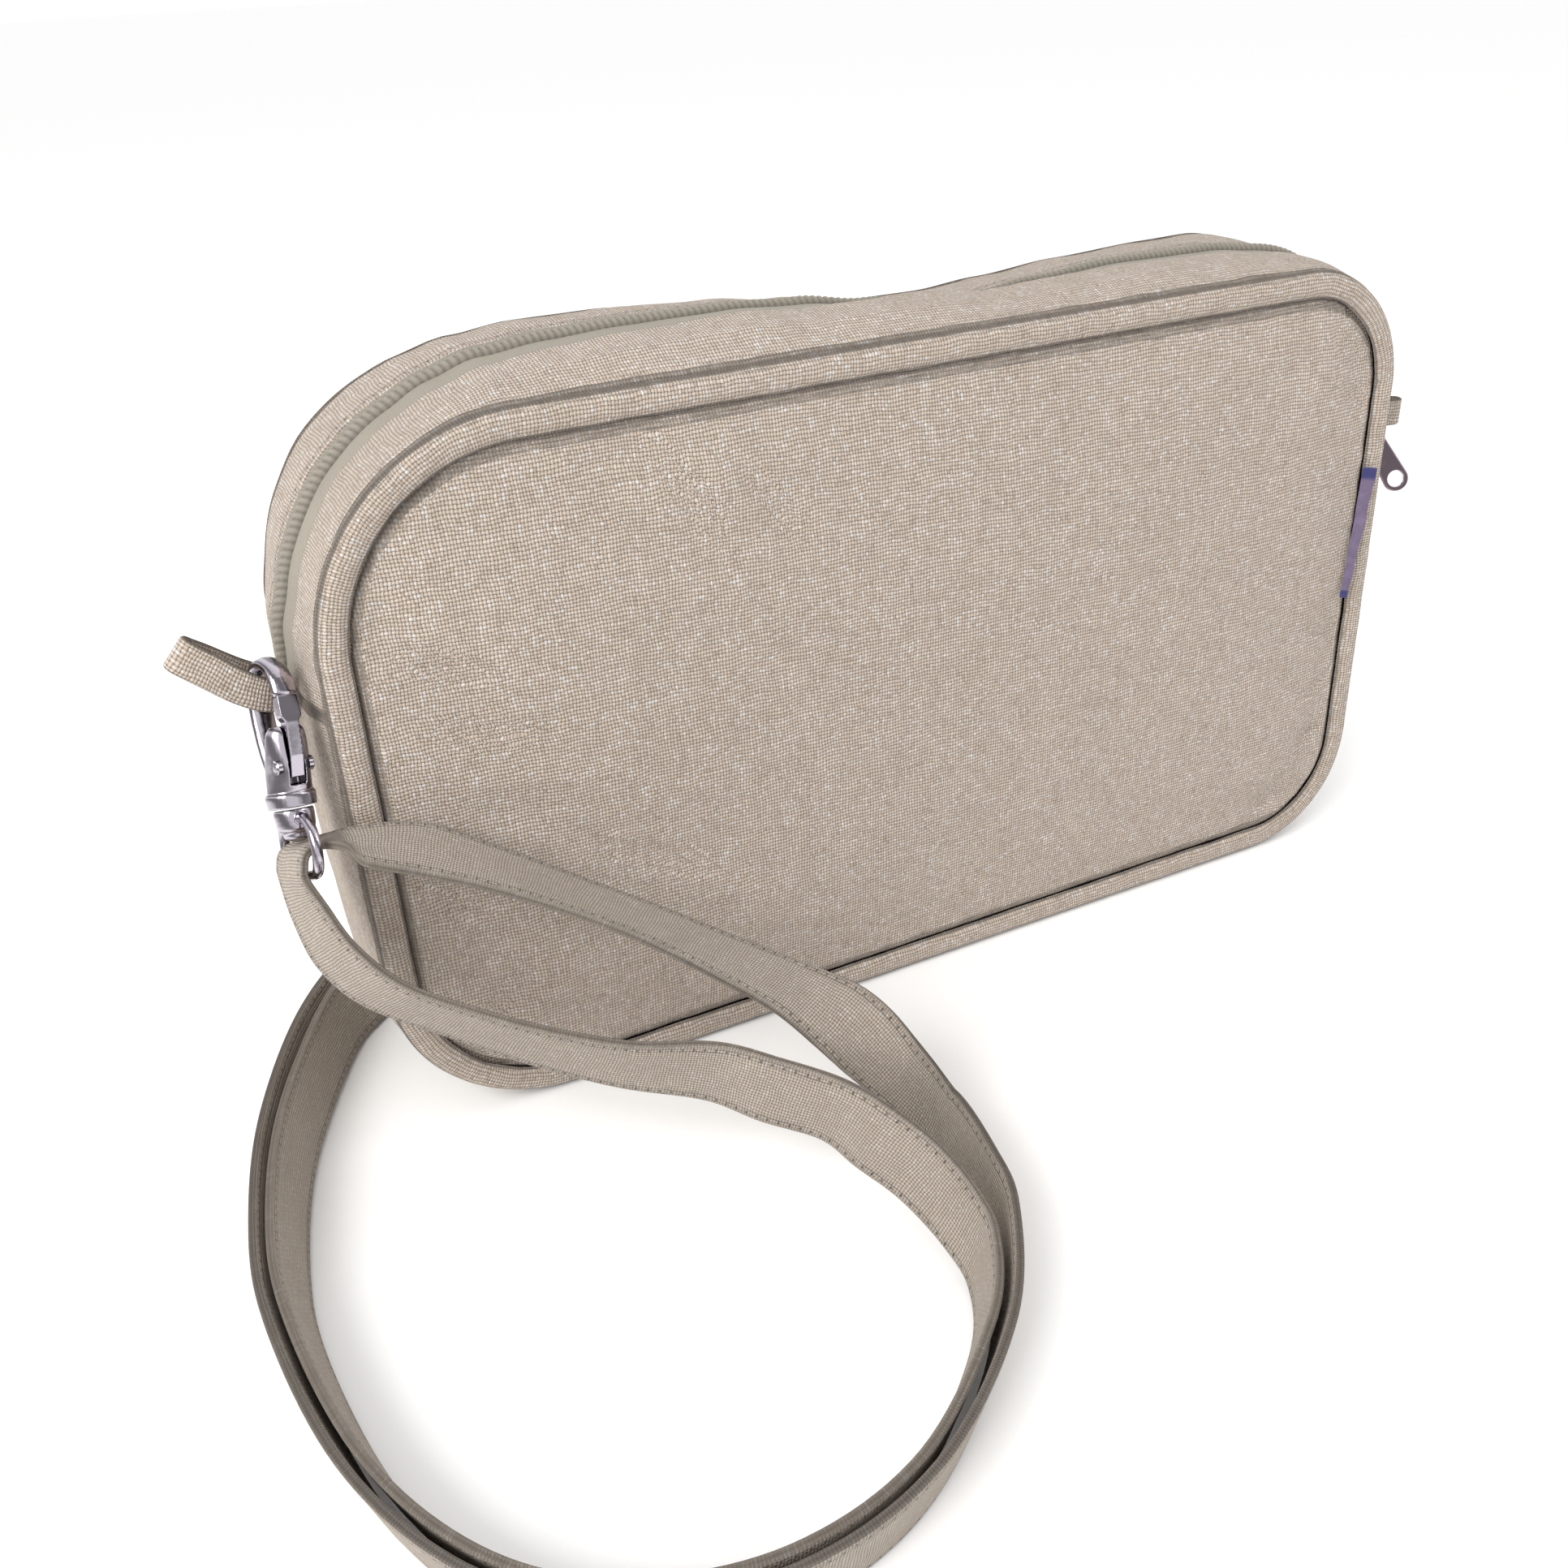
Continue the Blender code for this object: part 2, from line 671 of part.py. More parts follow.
def coil_face(height):
    """The place on the right side where the coil's outer face is, at a height."""
    values = ZIP_SWELL[-1][1:]
    sample = (Vector((BAG_WIDTH / 2, height)), Vector((1.0, 0.0)))
    sink = CLOTH - TAPE_THICKNESS - SEAM_GAP - COIL_RISE
    return gusset_point(sample, values, COIL_SHARE, sink)


def box_rings(stations):
    """Rings of rectangles: each station is (centre, half vector, half vector)."""
    signs = [(-1, -1), (1, -1), (1, 1), (-1, 1)]
    return [[c + u * a + v * b for u, v in signs] for c, a, b in stations]


def make_slider(steel):
    """The slider's cover on the coil, with the crown that holds the jump ring."""
    middle = right_seam_height() + SLIDER_HEIGHT
    base = coil_face(middle) + Vector((SEAM_GAP, 0.0, 0.0))
    out, across = Vector((1.0, 0.0, 0.0)), Vector((0.0, 1.0, 0.0))
    half_rise = 0.25 * SLIDER_RISE
    cover = []
    for share, width in SLIDER_COVER:
        centre = base + out * half_rise + Vector((0.0, 0.0, share * SLIDER_LENGTH))
        cover.append((centre, out * half_rise, across * width * SLIDER_WIDTH / 2))
    body = add_object("zip_slider", skin(box_rings(cover)), steel)
    bridge = []
    for share, rise in SLIDER_CROWN:
        centre = base + out * (half_rise + rise * CROWN_RISE)
        centre += Vector((0.0, 0.0, share * SLIDER_LENGTH))
        bridge.append((centre, out * 0.14 * SLIDER_RISE, across * 0.07 * SLIDER_WIDTH))
    crown = add_object("crown_guide", skin(box_rings(bridge)), steel)
    unite(body, crown)
    return base


def unite(body, *parts):
    """Join solids into one and drop the parts that it took in."""
    for part in parts:
        combine(body, part, "UNION")


def combine(body, tool, operation):
    """Apply one exact Boolean and remove its tool."""
    tool.hide_render = True
    tool.display_type = "WIRE"
    cut = body.modifiers.new("cut", "BOOLEAN")
    cut.operation = operation
    cut.solver = "EXACT"
    cut.object = tool
    bpy.context.view_layer.update()
    done = body.evaluated_get(bpy.context.evaluated_depsgraph_get())
    mesh = bpy.data.meshes.new_from_object(done)
    body.modifiers.clear()
    body.data = mesh
    bpy.data.objects.remove(tool, do_unlink=True)


def tube_rings(route, across, half_across, half_other, steps):
    """Oval rings along a flat route, whose first half width lies along the given axis."""
    rings = []
    for i, point in enumerate(route):
        ahead = route[min(i + 1, len(route) - 1)]
        behind = route[max(i - 1, 0)]
        along = (ahead - behind).normalized()
        other = along.cross(across).normalized()
        ring = []
        for k in range(steps):
            angle = math.tau * (k + 0.5) / steps
            ring.append(
                point + across * half_across * math.cos(angle) + other * half_other * math.sin(angle)
            )
        rings.append(ring)
    return rings


def make_pull(base, steel):
    """The jump ring through the crown and the flat pull that hangs from it."""
    under_crown = Vector((0.5 * SLIDER_RISE + 0.33 * CROWN_RISE, 0.0, -0.12 * SLIDER_LENGTH))
    along = Vector(PULL_DIRECTION).normalized()
    ring_axis = along.cross(Vector(RING_SIDE)).normalized()
    ring_front = ring_axis.cross(along)
    facing = along.cross(Vector(PULL_FACE).cross(along)).normalized()
    side = along.cross(facing).normalized()
    ring_centre = base + under_crown + along * JUMP_RING_RADIUS
    rings = []
    for k in range(ROUND_STEPS):
        angle = math.tau * k / ROUND_STEPS
        out = along * math.cos(angle) + ring_front * math.sin(angle)
        ring = []
        for m in range(6):
            turn = math.tau * m / 6
            spoke = out * math.cos(turn) + ring_axis * math.sin(turn)
            ring.append(ring_centre + out * JUMP_RING_RADIUS + spoke * JUMP_RING_WIRE)
        rings.append(ring)
    add_object("zip_jump_ring", skin(rings, closed=True), steel)

    eye = PULL_EYE_RADIUS
    start = ring_centre + along * (JUMP_RING_RADIUS + eye - JUMP_RING_WIRE - SEAM_GAP)
    half = PULL_THICKNESS / 2
    outline = []
    top_half, end_half = PULL_TOP_WIDTH / 2, PULL_END_WIDTH / 2
    for k in range(7):
        angle = math.pi * k / 6
        outline.append((-top_half * math.sin(angle), top_half * math.cos(angle)))
    for k in range(9):
        angle = math.pi * k / 8
        reach = PULL_LENGTH - end_half
        outline.append((reach + end_half * math.sin(angle), -end_half * math.cos(angle)))
    faces = []
    for level in (-half, half):
        faces.append([start + along * a + side * s + facing * level for a, s in outline])
    body = add_object("zip_pull", skin(faces), steel, sharp_degrees=30.0)
    for distance, radius in [(0.0, eye), (PULL_LENGTH - end_half, PULL_HOLE_RADIUS)]:
        centre = start + along * distance
        rings = []
        for level in (-2 * half, 2 * half):
            ring = []
            for k in range(ROUND_STEPS):
                angle = math.tau * k / ROUND_STEPS
                spoke = along * math.cos(angle) + side * math.sin(angle)
                ring.append(centre + spoke * radius + facing * level)
            rings.append(ring)
        combine(body, add_object("hole_guide", skin(rings), steel), "DIFFERENCE")


# Fabric loops and the label


def ribbon(name, route, edges, width, wall, surface, closed=False):
    """A strip of cloth along a route, whose width lies along the given edge directions."""
    rings = []
    count = len(route)
    for i, (point, edge) in enumerate(zip(route, edges)):
        ahead = route[(i + 1) % count] if closed else route[min(i + 1, count - 1)]
        behind = route[i - 1] if closed else route[max(i - 1, 0)]
        facing = (ahead - behind).cross(edge).normalized()
        half, deep = edge.normalized() * width / 2, facing * wall / 2
        corners = [(-1, -1), (1, -1), (1, 1), (-1, 1)]
        rings.append([point + half * a + deep * b for a, b in corners])
    return add_object(name, skin(rings, closed=closed), surface)


def loop_route(root, along, apart, length, spread_axis, near, steps=6):
    """Route of a folded loop: out on the near side, round its end and back."""
    radius = apart / 2
    route = []
    for i in range(steps):
        share = i / steps
        gap = near + (1.0 - near) * min(1.0, 2.2 * share)
        route.append(root + along * (length - radius) * share - spread_axis * radius * gap)
    for i in range(7):
        angle = math.pi * i / 6
        reach = length - radius + radius * math.sin(angle)
        route.append(root + along * reach - spread_axis * radius * math.cos(angle))
    for i in reversed(range(steps)):
        share = i / steps
        gap = near + (1.0 - near) * min(1.0, 2.2 * share)
        route.append(root + along * (length - radius) * share + spread_axis * radius * gap)
    return route


def make_end_tab(linen):
    """The fabric loop at the right end of the zip."""
    height = right_seam_height() - TAB_WIDTH / 2
    root = coil_face(height) + Vector((0.0, 0.05 * BAG_DEPTH, 0.0))
    root.x = BAG_WIDTH / 2 + SWELL * BASE_SWELL[0][2] + CLOTH / 2
    across = Vector((math.sin(END_TAB_LEAN), math.cos(END_TAB_LEAN), 0.0))
    level = Vector((math.cos(END_TAB_LEAN), -math.sin(END_TAB_LEAN), 0.0))
    up = Vector((0.0, 0.0, 1.0))
    along = level * math.cos(END_TAB_DROP) - up * math.sin(END_TAB_DROP)
    edge = level * math.sin(END_TAB_DROP) + up * math.cos(END_TAB_DROP)
    route = loop_route(root, along, 2.6 * TAB_CLOTH, END_TAB_LENGTH, across, 0.9)
    ribbon("end_tab", route, [edge] * len(route), TAB_WIDTH, TAB_CLOTH, linen)


def make_label(label):
    """The small plain label that stands out of the right seam, narrow at its lower end."""
    high = BAG_HEIGHT * LABEL_TOP
    place = BAG_WIDTH / 2 - WELT_WIDTH - SEAM_GAP - LABEL_THICKNESS
    root_y = FRONT - PANEL_STEP - 2 * SEAM_GAP
    rings = []
    for share, width, shift in LABEL_ROWS:
        inward = LABEL_WIDTH * shift
        foot = Vector((place - inward, root_y - LABEL_LIFT * inward, high - LABEL_LENGTH * share))
        tip = foot + Vector((0.72, -0.70, 0.0)) * LABEL_WIDTH * width
        along = (tip - foot).normalized()
        wall = Vector((-along.y, along.x, 0.0)) * LABEL_THICKNESS / 2
        rings.append([foot - wall, tip - wall, tip + wall, foot + wall])
    add_object("side_label", skin(rings), label)


# Trigger clip. It is modelled hanging straight down from its top, gate to the front,
# and then leans with the empty that carries it


def hook_arm():
    """Rings of the hook from inside the barrel up, over the eye and down to its tip."""
    reach = (EYE_WIDTH + HOOK_WIRE) / 2
    top = -HOOK_WIRE / 2
    points = [
        Vector((0.0, 0.52 * reach, -1.75 * BARREL_TOP)),
        Vector((0.0, 0.86 * reach, -1.35 * BARREL_TOP)),
        Vector((0.0, reach, top - 1.9 * reach)),
    ]
    for k in range(9):
        angle = math.pi * k / 8
        points.append(Vector((0.0, reach * math.cos(angle), top - reach + reach * math.sin(angle))))
    points.append(Vector((0.0, -reach, top - reach - TIP_DROP)))
    return tube_rings(points, Vector((1.0, 0.0, 0.0)), HOOK_BREADTH / 2, HOOK_WIRE / 2, 10)


def oval_rings(stations, steps):
    """Level oval rings. Each station is (height, middle y, half depth, half breadth)."""
    rings = []
    for height, middle, deep, broad in stations:
        ring = []
        for k in range(steps):
            angle = math.tau * (k + 0.5) / steps
            ring.append(Vector((broad * math.cos(angle), middle + deep * math.sin(angle), height)))
        rings.append(ring)
    return rings


def cylinder_along_x(name, radius, half_length, centre, surface, steps=ROUND_STEPS):
    """A round bar across the clip."""
    rings = []
    for side in (-1, 1):
        ring = []
        for k in range(steps):
            angle = math.tau * k / steps
            spoke = Vector((0.0, math.cos(angle), math.sin(angle))) * radius
            ring.append(centre + spoke + Vector((side * half_length, 0.0, 0.0)))
        rings.append(ring)
    return add_object(name, skin(rings), surface)


def gate_pivot():
    """The pin's place in the clip's own frame."""
    return Vector((0.0, -0.81 * BARREL_RADIUS, -GATE_PIVOT_DROP))


def make_hook_body(chrome):
    """The hook, its slotted barrel with a collar, and the gate's pin."""
    stations = [
        (
            -BARREL_TOP - share * BARREL_LENGTH,
            middle * BARREL_RADIUS,
            deep * BARREL_RADIUS,
            broad * BARREL_RADIUS,
        )
        for share, middle, deep, broad in BARREL_ROWS
    ]
    body = add_object("hook_body", skin(oval_rings(stations, ROUND_STEPS)), chrome)
    arm = add_object("arm_guide", skin(hook_arm()), chrome)
    unite(body, arm)

    back_wall = -0.31 * BARREL_RADIUS
    slot_low = -BARREL_TOP - 0.73 * BARREL_LENGTH
    slot_high = -BARREL_TOP + SLOT_OVERRUN
    depth = 2.0 * BARREL_RADIUS
    middle = Vector((0.0, back_wall - depth / 2, 0.0))
    half_width = Vector((SLOT_WIDTH / 2, 0.0, 0.0))
    half_depth = Vector((0.0, depth / 2, 0.0))
    stations = [
        (middle + Vector((0.0, 0.0, height)), half_width, half_depth)
        for height in (slot_low, slot_high)
    ]
    combine(body, add_object("slot_guide", skin(box_rings(stations)), chrome), "DIFFERENCE")
    pin = cylinder_along_x("pin_guide", PIN_RADIUS, 0.70 * BARREL_RADIUS, gate_pivot(), chrome)
    unite(body, pin)
    for side in (-1, 1):
        place = gate_pivot() + Vector((side * 0.72 * BARREL_RADIUS, 0.0, 0.0))
        head = cylinder_along_x("rivet_guide", 1.9 * PIN_RADIUS, 0.09 * BARREL_RADIUS, place, chrome)
        unite(body, head)
    return body


def make_hook_gate(chrome):
    """The sprung lever that closes the eye, with its origin on the pin."""
    reach = EYE_WIDTH / 2 + GATE_PLAY
    top = -(HOOK_WIRE + EYE_WIDTH) / 2 - HOOK_WIRE / 2 - TIP_DROP - SEAM_GAP
    head = 0.43 * HOOK_BREADTH
    shoulder = -BARREL_TOP + SHOULDER_RISE
    stem = GATE_WIDTH / 2
    rows = [
        (top, reach, reach + 0.88 * HOOK_WIRE, head),
        (shoulder, reach + GATE_PLAY / 2, reach + 0.92 * HOOK_WIRE, head),
        (shoulder - SHOULDER_HEIGHT, reach + GATE_PLAY, reach + 0.92 * HOOK_WIRE, stem),
        (-GATE_PIVOT_DROP + GATE_BULGE, 0.50 * BARREL_RADIUS, 1.37 * BARREL_RADIUS, stem),
        (-GATE_PIVOT_DROP - GATE_TAIL, 0.54 * BARREL_RADIUS, 1.10 * BARREL_RADIUS, stem),
    ]
    stations = []
    for height, back, front, half in rows:
        centre = Vector((0.0, -(back + front) / 2, height)) - gate_pivot()
        stations.append((centre, Vector((half, 0.0, 0.0)), Vector((0.0, (front - back) / 2, 0.0))))
    gate = add_object("hook_gate", skin(box_rings(stations)), chrome)
    bore = cylinder_along_x("bore_guide", PIN_RADIUS + PIN_CLEARANCE, GATE_WIDTH, Vector(), chrome)
    combine(gate, bore, "DIFFERENCE")
    gate.location = gate_pivot()
    return gate


def ring_bar():
    """The middle of the ring's lower bar in the clip's own frame."""
    return Vector((0.0, 0.0, -BARREL_TOP - BARREL_LENGTH - SEAM_GAP - RING_DROP))


def make_swivel_ring(chrome):
    """The swivel's collar and ball end, with the ring that the strap passes through."""
    top = -BARREL_TOP - BARREL_LENGTH - SEAM_GAP
    stations = [
        (top - share * COLLAR_HEIGHT, 0.0, radius * COLLAR_RADIUS, radius * COLLAR_RADIUS)
        for share, radius in COLLAR_ROWS
    ]
    body = add_object("swivel_ring", skin(oval_rings(stations, ROUND_STEPS)), chrome)

    bar = ring_bar()
    half = (RING_INNER + RING_WIRE) / 2
    drop = top - 0.42 * COLLAR_HEIGHT - bar.z
    right = [Vector((0.0, -half * y, bar.z + drop * z)) for y, z in RING_ROWS]
    left = [Vector((0.0, half * y, bar.z + drop * z)) for y, z in RING_ROWS[:-1]]
    route = smooth_route(right + left[::-1], 2)
    wire = tube_rings(route, Vector((1.0, 0.0, 0.0)), RING_WIRE / 2, RING_WIRE / 2, 8)
    unite(body, add_object("ring_guide", skin(wire), chrome))
    body.rotation_euler = (0.0, 0.0, RING_SWIVEL)
    return body


def clip_matrix():
    """Where the clip hangs: its top in the left loop, leaning to the front."""
    top = Vector((
        -BAG_WIDTH / 2 - CLIP_OUTSET - HOOK_BREADTH / 2 - CLIP_GAP,
        -0.22 * BAG_DEPTH,
        BAG_HEIGHT - TOP_LEFT_RADIUS - LEFT_SEAM_DROP + CLIP_RISE,
    ))
    turn = Matrix.Rotation(CLIP_TURN, 4, "Z")
    lean = Matrix.Rotation(-CLIP_LEAN, 4, "X")
    sway = Matrix.Rotation(CLIP_SWAY, 4, "Y")
    return Matrix.Translation(top) @ sway @ lean @ turn


def make_clip(chrome):
    """The three pieces of the clip, carried by one empty that leans."""
    carrier = bpy.data.objects.new("clip_carrier", None)
    bpy.context.scene.collection.objects.link(carrier)
    carrier.matrix_world = clip_matrix()
    for piece in (make_hook_body(chrome), make_hook_gate(chrome), make_swivel_ring(chrome)):
        piece.parent = carrier


def make_strap_tab(linen):
    """The fabric loop at the left end of the zip. Its near layer passes through the eye."""
    seam = Vector((-BAG_WIDTH / 2, 0.0, BAG_HEIGHT - TOP_LEFT_RADIUS - LEFT_SEAM_DROP))
    points, edges = [], []
    for out, across, up, lift in TAB_ROWS:
        points.append(seam + Vector((-out * TAB_LENGTH, across * BAG_DEPTH, up * TAB_LENGTH)))
        angle = math.radians(lift)
        edges.append(Vector((math.sin(angle), 0.0, math.cos(angle))))
    ribbon("strap_tab", smooth_route(points, 2), smooth_route(edges, 2), TAB_WIDTH, TAB_CLOTH, linen)


# Strap


def direction(heading, rise):
    """Unit vector from a heading and a rise in degrees."""
    flat = math.cos(math.radians(rise))
    turn = math.radians(heading)
    return Vector((flat * math.cos(turn), flat * math.sin(turn), math.sin(math.radians(rise))))


def standing_height():
    """Height of the strap's middle where it stands on the ground on its lower edge."""
    return STRAP_WIDTH / 2 * math.cos(STRAP_LEAN) + STRAP_THICKNESS / 2 * math.sin(STRAP_LEAN)


def ground_points():
    """The outer run's plan points on the ground, and each point's distance to the inner run."""
    across = -BAG_WIDTH / 2 + LOOP_INSET - LOOP_WIDTH / 2
    centre = Vector((across, FRONT - LOOP_FORWARD + LOOP_SHIFT * LOOP_LENGTH, 0.0))
    places = [
        centre + Vector((x * LOOP_WIDTH, y * LOOP_LENGTH, standing_height()))
        for x, y, _ in GROUND_RUN
    ]
    return places, [pitch * STRAP_WIDTH for _, _, pitch in GROUND_RUN]


def path_left(points, i):
    """Level direction to the left of travel at one of the points."""
    ahead = points[min(i + 1, len(points) - 1)]
    behind = points[max(i - 1, 0)]
    along = (ahead - behind).normalized()
    return Vector((-along.y, along.x, 0.0)).normalized()


def turned_edge(left, turn):
    """Marked edge at a turn about the route, from straight down at zero."""
    return Vector((0.0, 0.0, -math.cos(turn))) - left * math.sin(turn)


def air_run(rows, bar, landing):
    """Points and edge directions of a run in the air."""
    points, edges = [], []
    for across, forward, down, heading, rise in rows:
        points.append(Vector((
            bar.x + (landing.x - bar.x) * across,
            bar.y + (landing.y - bar.y) * forward,
            bar.z + (landing.z - bar.z) * down,
        )))
        edges.append(direction(heading, rise))
    return points, edges


def fold_run(clip):
    """Points and edge directions of the fold over the ring's bar."""
    swivelled = clip @ Matrix.Rotation(RING_SWIVEL, 4, "Z")
    bar_end = (swivelled.to_3x3() @ Vector((0.0, -1.0, 0.0))).normalized()
    points = []
    for side, front, up in FOLD:
        offset = Vector((side, -front, up)) * STRAP_THICKNESS
        points.append(swivelled @ (ring_bar() + offset))
    return points, [bar_end] * len(points)


def strap_stations():
    """Points and edge directions once round the whole strap, starting over the ring's bar."""
    clip = clip_matrix()
    bar = clip @ ring_bar()
    outer, pitches = ground_points()
    inner = [point - path_left(outer, i) * pitches[i] for i, point in enumerate(outer)]
    far = [outer[-1] + Vector((x, y, 0.0)) * STRAP_WIDTH for x, y, _ in FAR_RUN]
    ground = outer + far + inner[LANDING_ROW + 1:][::-1]
    turns = [STRAP_LEAN] * len(outer) + [math.radians(turn) for _, _, turn in FAR_RUN]
    turns += [math.pi - STRAP_LEAN] * (len(inner) - LANDING_ROW - 1)
    standing = [turned_edge(path_left(ground, i), turn) for i, turn in enumerate(turns)]

    fold, fold_edges = fold_run(clip)
    back, back_edges = air_run(BACK_RUN, bar, outer[0])
    landing = inner[LANDING_ROW].lerp(inner[LANDING_ROW + 1], LANDING_SHIFT)
    front, front_edges = air_run(FRONT_RUN, bar, landing)
    points = fold + back + ground[1:] + front[::-1]
    edges = fold_edges + back_edges + standing[1:] + front_edges[::-1]
    return points, edges


def make_strap(webbing):
    """The closed loop of strap, its width kept square to its route."""
    points, edges = strap_stations()
    count = len(points)
    steps = STRAP_STEPS
    route, marks = [], []
    for i in range(count):
        around = [points[(i + k) % count] for k in (-1, 0, 1, 2)]
        turns = [edges[(i + k) % count] for k in (-1, 0, 1, 2)]
        route += smooth_route(around, steps)[steps:2 * steps]
        marks += smooth_route(turns, steps)[steps:2 * steps]
    for point, mark in zip(route, marks):
        low = (STRAP_WIDTH * abs(mark.normalized().z) + STRAP_THICKNESS * math.sin(STRAP_LEAN)) / 2
        point.z = max(point.z, low)
    ribbon("strap", route, marks, STRAP_WIDTH, STRAP_THICKNESS, webbing, closed=True)


def main():
    clear_scene()
    linen = material("linen", (0.50, 0.43, 0.35), 0.9)
    zip_tape = material("zip_tape", (0.36, 0.34, 0.27), 0.75)
    webbing = material("webbing", (0.52, 0.46, 0.39), 0.85)
    label = material("label", (0.35, 0.30, 0.38), 0.6)
    chrome = material("chrome", (0.78, 0.76, 0.80), 0.15, 1.0)
    steel = material("steel", (0.55, 0.50, 0.54), 0.3, 1.0)

    make_panel("front_panel", -1, FRONT_DENTS, linen)
    make_panel("back_panel", 1, BACK_DENTS, linen)
    make_welt("front_welt", -1, linen)
    make_welt("back_welt", 1, linen)
    make_gusset(linen, zip_tape)
    base = make_slider(steel)
    make_pull(base, steel)
    make_strap_tab(linen)
    make_end_tab(linen)
    make_label(label)
    make_clip(chrome)
    make_strap(webbing)


main()
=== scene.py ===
"""Dressed scene of a zip-round linen pouch that hangs on a long strap by a trigger clip."""

import math

import bmesh
import bpy
from bpy.props import FloatProperty, FloatVectorProperty, PointerProperty
from mathutils import Matrix, Vector, noise


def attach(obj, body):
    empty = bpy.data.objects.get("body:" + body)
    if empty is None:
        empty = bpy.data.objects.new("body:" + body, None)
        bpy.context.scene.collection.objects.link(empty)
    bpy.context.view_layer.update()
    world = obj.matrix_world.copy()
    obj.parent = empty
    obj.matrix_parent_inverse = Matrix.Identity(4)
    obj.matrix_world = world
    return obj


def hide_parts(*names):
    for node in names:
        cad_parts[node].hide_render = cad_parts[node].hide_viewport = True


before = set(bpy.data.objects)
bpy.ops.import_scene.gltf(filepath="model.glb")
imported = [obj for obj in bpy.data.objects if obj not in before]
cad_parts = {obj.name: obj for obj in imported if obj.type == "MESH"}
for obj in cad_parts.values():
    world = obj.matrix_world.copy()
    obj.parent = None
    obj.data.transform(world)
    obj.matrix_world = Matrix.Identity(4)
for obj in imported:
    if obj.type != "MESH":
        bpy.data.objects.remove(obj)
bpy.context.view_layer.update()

bl_info = {
    "name": "Linen Pouch on a Clip Strap",
    "version": (1, 0, 0),
    "blender": (4, 5, 0),
    "location": "View3D > Sidebar > Pouch",
    "description": "Builds the cloth, zip, clip and strap of a linen pouch around its solids",
    "category": "Object",
}

MM = 0.001

# Sizes of the solids that the dressed pieces follow
BAG_WIDTH = 300.0 * MM
BAG_HEIGHT = 175.0 * MM
TOP_LEFT_RADIUS = 49.5 * MM
TOP_RIGHT_RADIUS = 34.5 * MM
BOTTOM_RIGHT_RADIUS = 33.0 * MM
BOTTOM_LEFT_RADIUS = 41.5 * MM
FRONT_BAND = 19.5 * MM
ZIP_OPENING = 12.0 * MM
BACK_BAND = 20.5 * MM
BAG_DEPTH = FRONT_BAND + ZIP_OPENING + BACK_BAND
LEFT_SEAM_DROP = 10.5 * MM
RIGHT_SEAM_DROP = 13.5 * MM
CLOTH = 1.6 * MM
SEAM_GAP = 0.4 * MM
SWELL = 8.0 * MM
WELT_WIDTH = 7.0 * MM
WELT_RISE = 2.4 * MM
PANEL_STEP = 1.2 * MM
PANEL_CROWN = 4.5 * MM
CROWN_REACH = 55.0 * MM
DENT_DEPTH = 2.2 * MM
COIL_WIDTH = 5.8 * MM
COIL_RISE = 1.7 * MM
COIL_MARGIN = 1.3 * MM
TAPE_THICKNESS = 1.0 * MM
SLIDER_LENGTH = 9.0 * MM
SLIDER_WIDTH = 8.6 * MM
SLIDER_RISE = 2.6 * MM
SLIDER_HEIGHT = 8.6 * MM
CROWN_RISE = 3.4 * MM
JUMP_RING_RADIUS = 3.2 * MM
JUMP_RING_WIRE = 0.45 * MM
PULL_EYE_RADIUS = 1.25 * MM
PULL_LENGTH = 31.0 * MM
PULL_TOP_WIDTH = 4.4 * MM
PULL_END_WIDTH = 7.4 * MM
PULL_THICKNESS = 1.3 * MM
PULL_HOLE_RADIUS = 2.45 * MM
TAB_WIDTH = 8.0 * MM
TAB_LENGTH = 27.0 * MM
TAB_CLOTH = 1.5 * MM
END_TAB_LENGTH = 26.5 * MM
END_TAB_DROP = math.radians(1.0)
END_TAB_LEAN = math.radians(10.0)
LABEL_LENGTH = 38.5 * MM
LABEL_WIDTH = 4.2 * MM
LABEL_THICKNESS = 0.8 * MM
LABEL_TOP = 0.677
LABEL_LIFT = 0.2
HOOK_WIRE = 3.3 * MM
HOOK_BREADTH = 5.4 * MM
EYE_WIDTH = 9.6 * MM
BARREL_RADIUS = 5.2 * MM
BARREL_TOP = 15.3 * MM
BARREL_LENGTH = 17.7 * MM
SLOT_WIDTH = 3.7 * MM
GATE_WIDTH = 3.0 * MM
GATE_PIVOT_DROP = 24.0 * MM
PIN_RADIUS = 0.9 * MM
COLLAR_RADIUS = 4.3 * MM
COLLAR_HEIGHT = 5.2 * MM
RING_INNER = 20.6 * MM
RING_WIRE = 2.4 * MM
RING_DROP = 14.8 * MM
STRAP_WIDTH = 19.0 * MM
STRAP_THICKNESS = 2.0 * MM
STRAP_LEAN = math.radians(15.0)
LOOP_WIDTH = 154.0 * MM
LOOP_LENGTH = 221.0 * MM
LOOP_INSET = 112.0 * MM
LOOP_FORWARD = 80.0 * MM
LOOP_SHIFT = 0.12
LANDING_SHIFT = 0.3
LANDING_ROW = 2
RING_SWIVEL = math.radians(-8.0)
CLIP_LEAN = math.radians(24.0)
CLIP_SWAY = math.radians(4.6)
CLIP_TURN = math.radians(18.0)
CLIP_OUTSET = 5.2 * MM
CLIP_GAP = 0.8 * MM
CLIP_RISE = 11.8 * MM
SLOT_OVERRUN = 1.0 * MM
GATE_PLAY = 0.2 * MM
TIP_DROP = 0.3 * MM
SHOULDER_RISE = 1.8 * MM
SHOULDER_HEIGHT = 1.2 * MM
GATE_BULGE = 2.0 * MM
GATE_TAIL = 2.6 * MM
PULL_DIRECTION = (0.34, -0.45, -0.83)
RING_SIDE = (-0.10, -0.96, 0.00)
PULL_FACE = (-0.35, -0.90, 0.04)

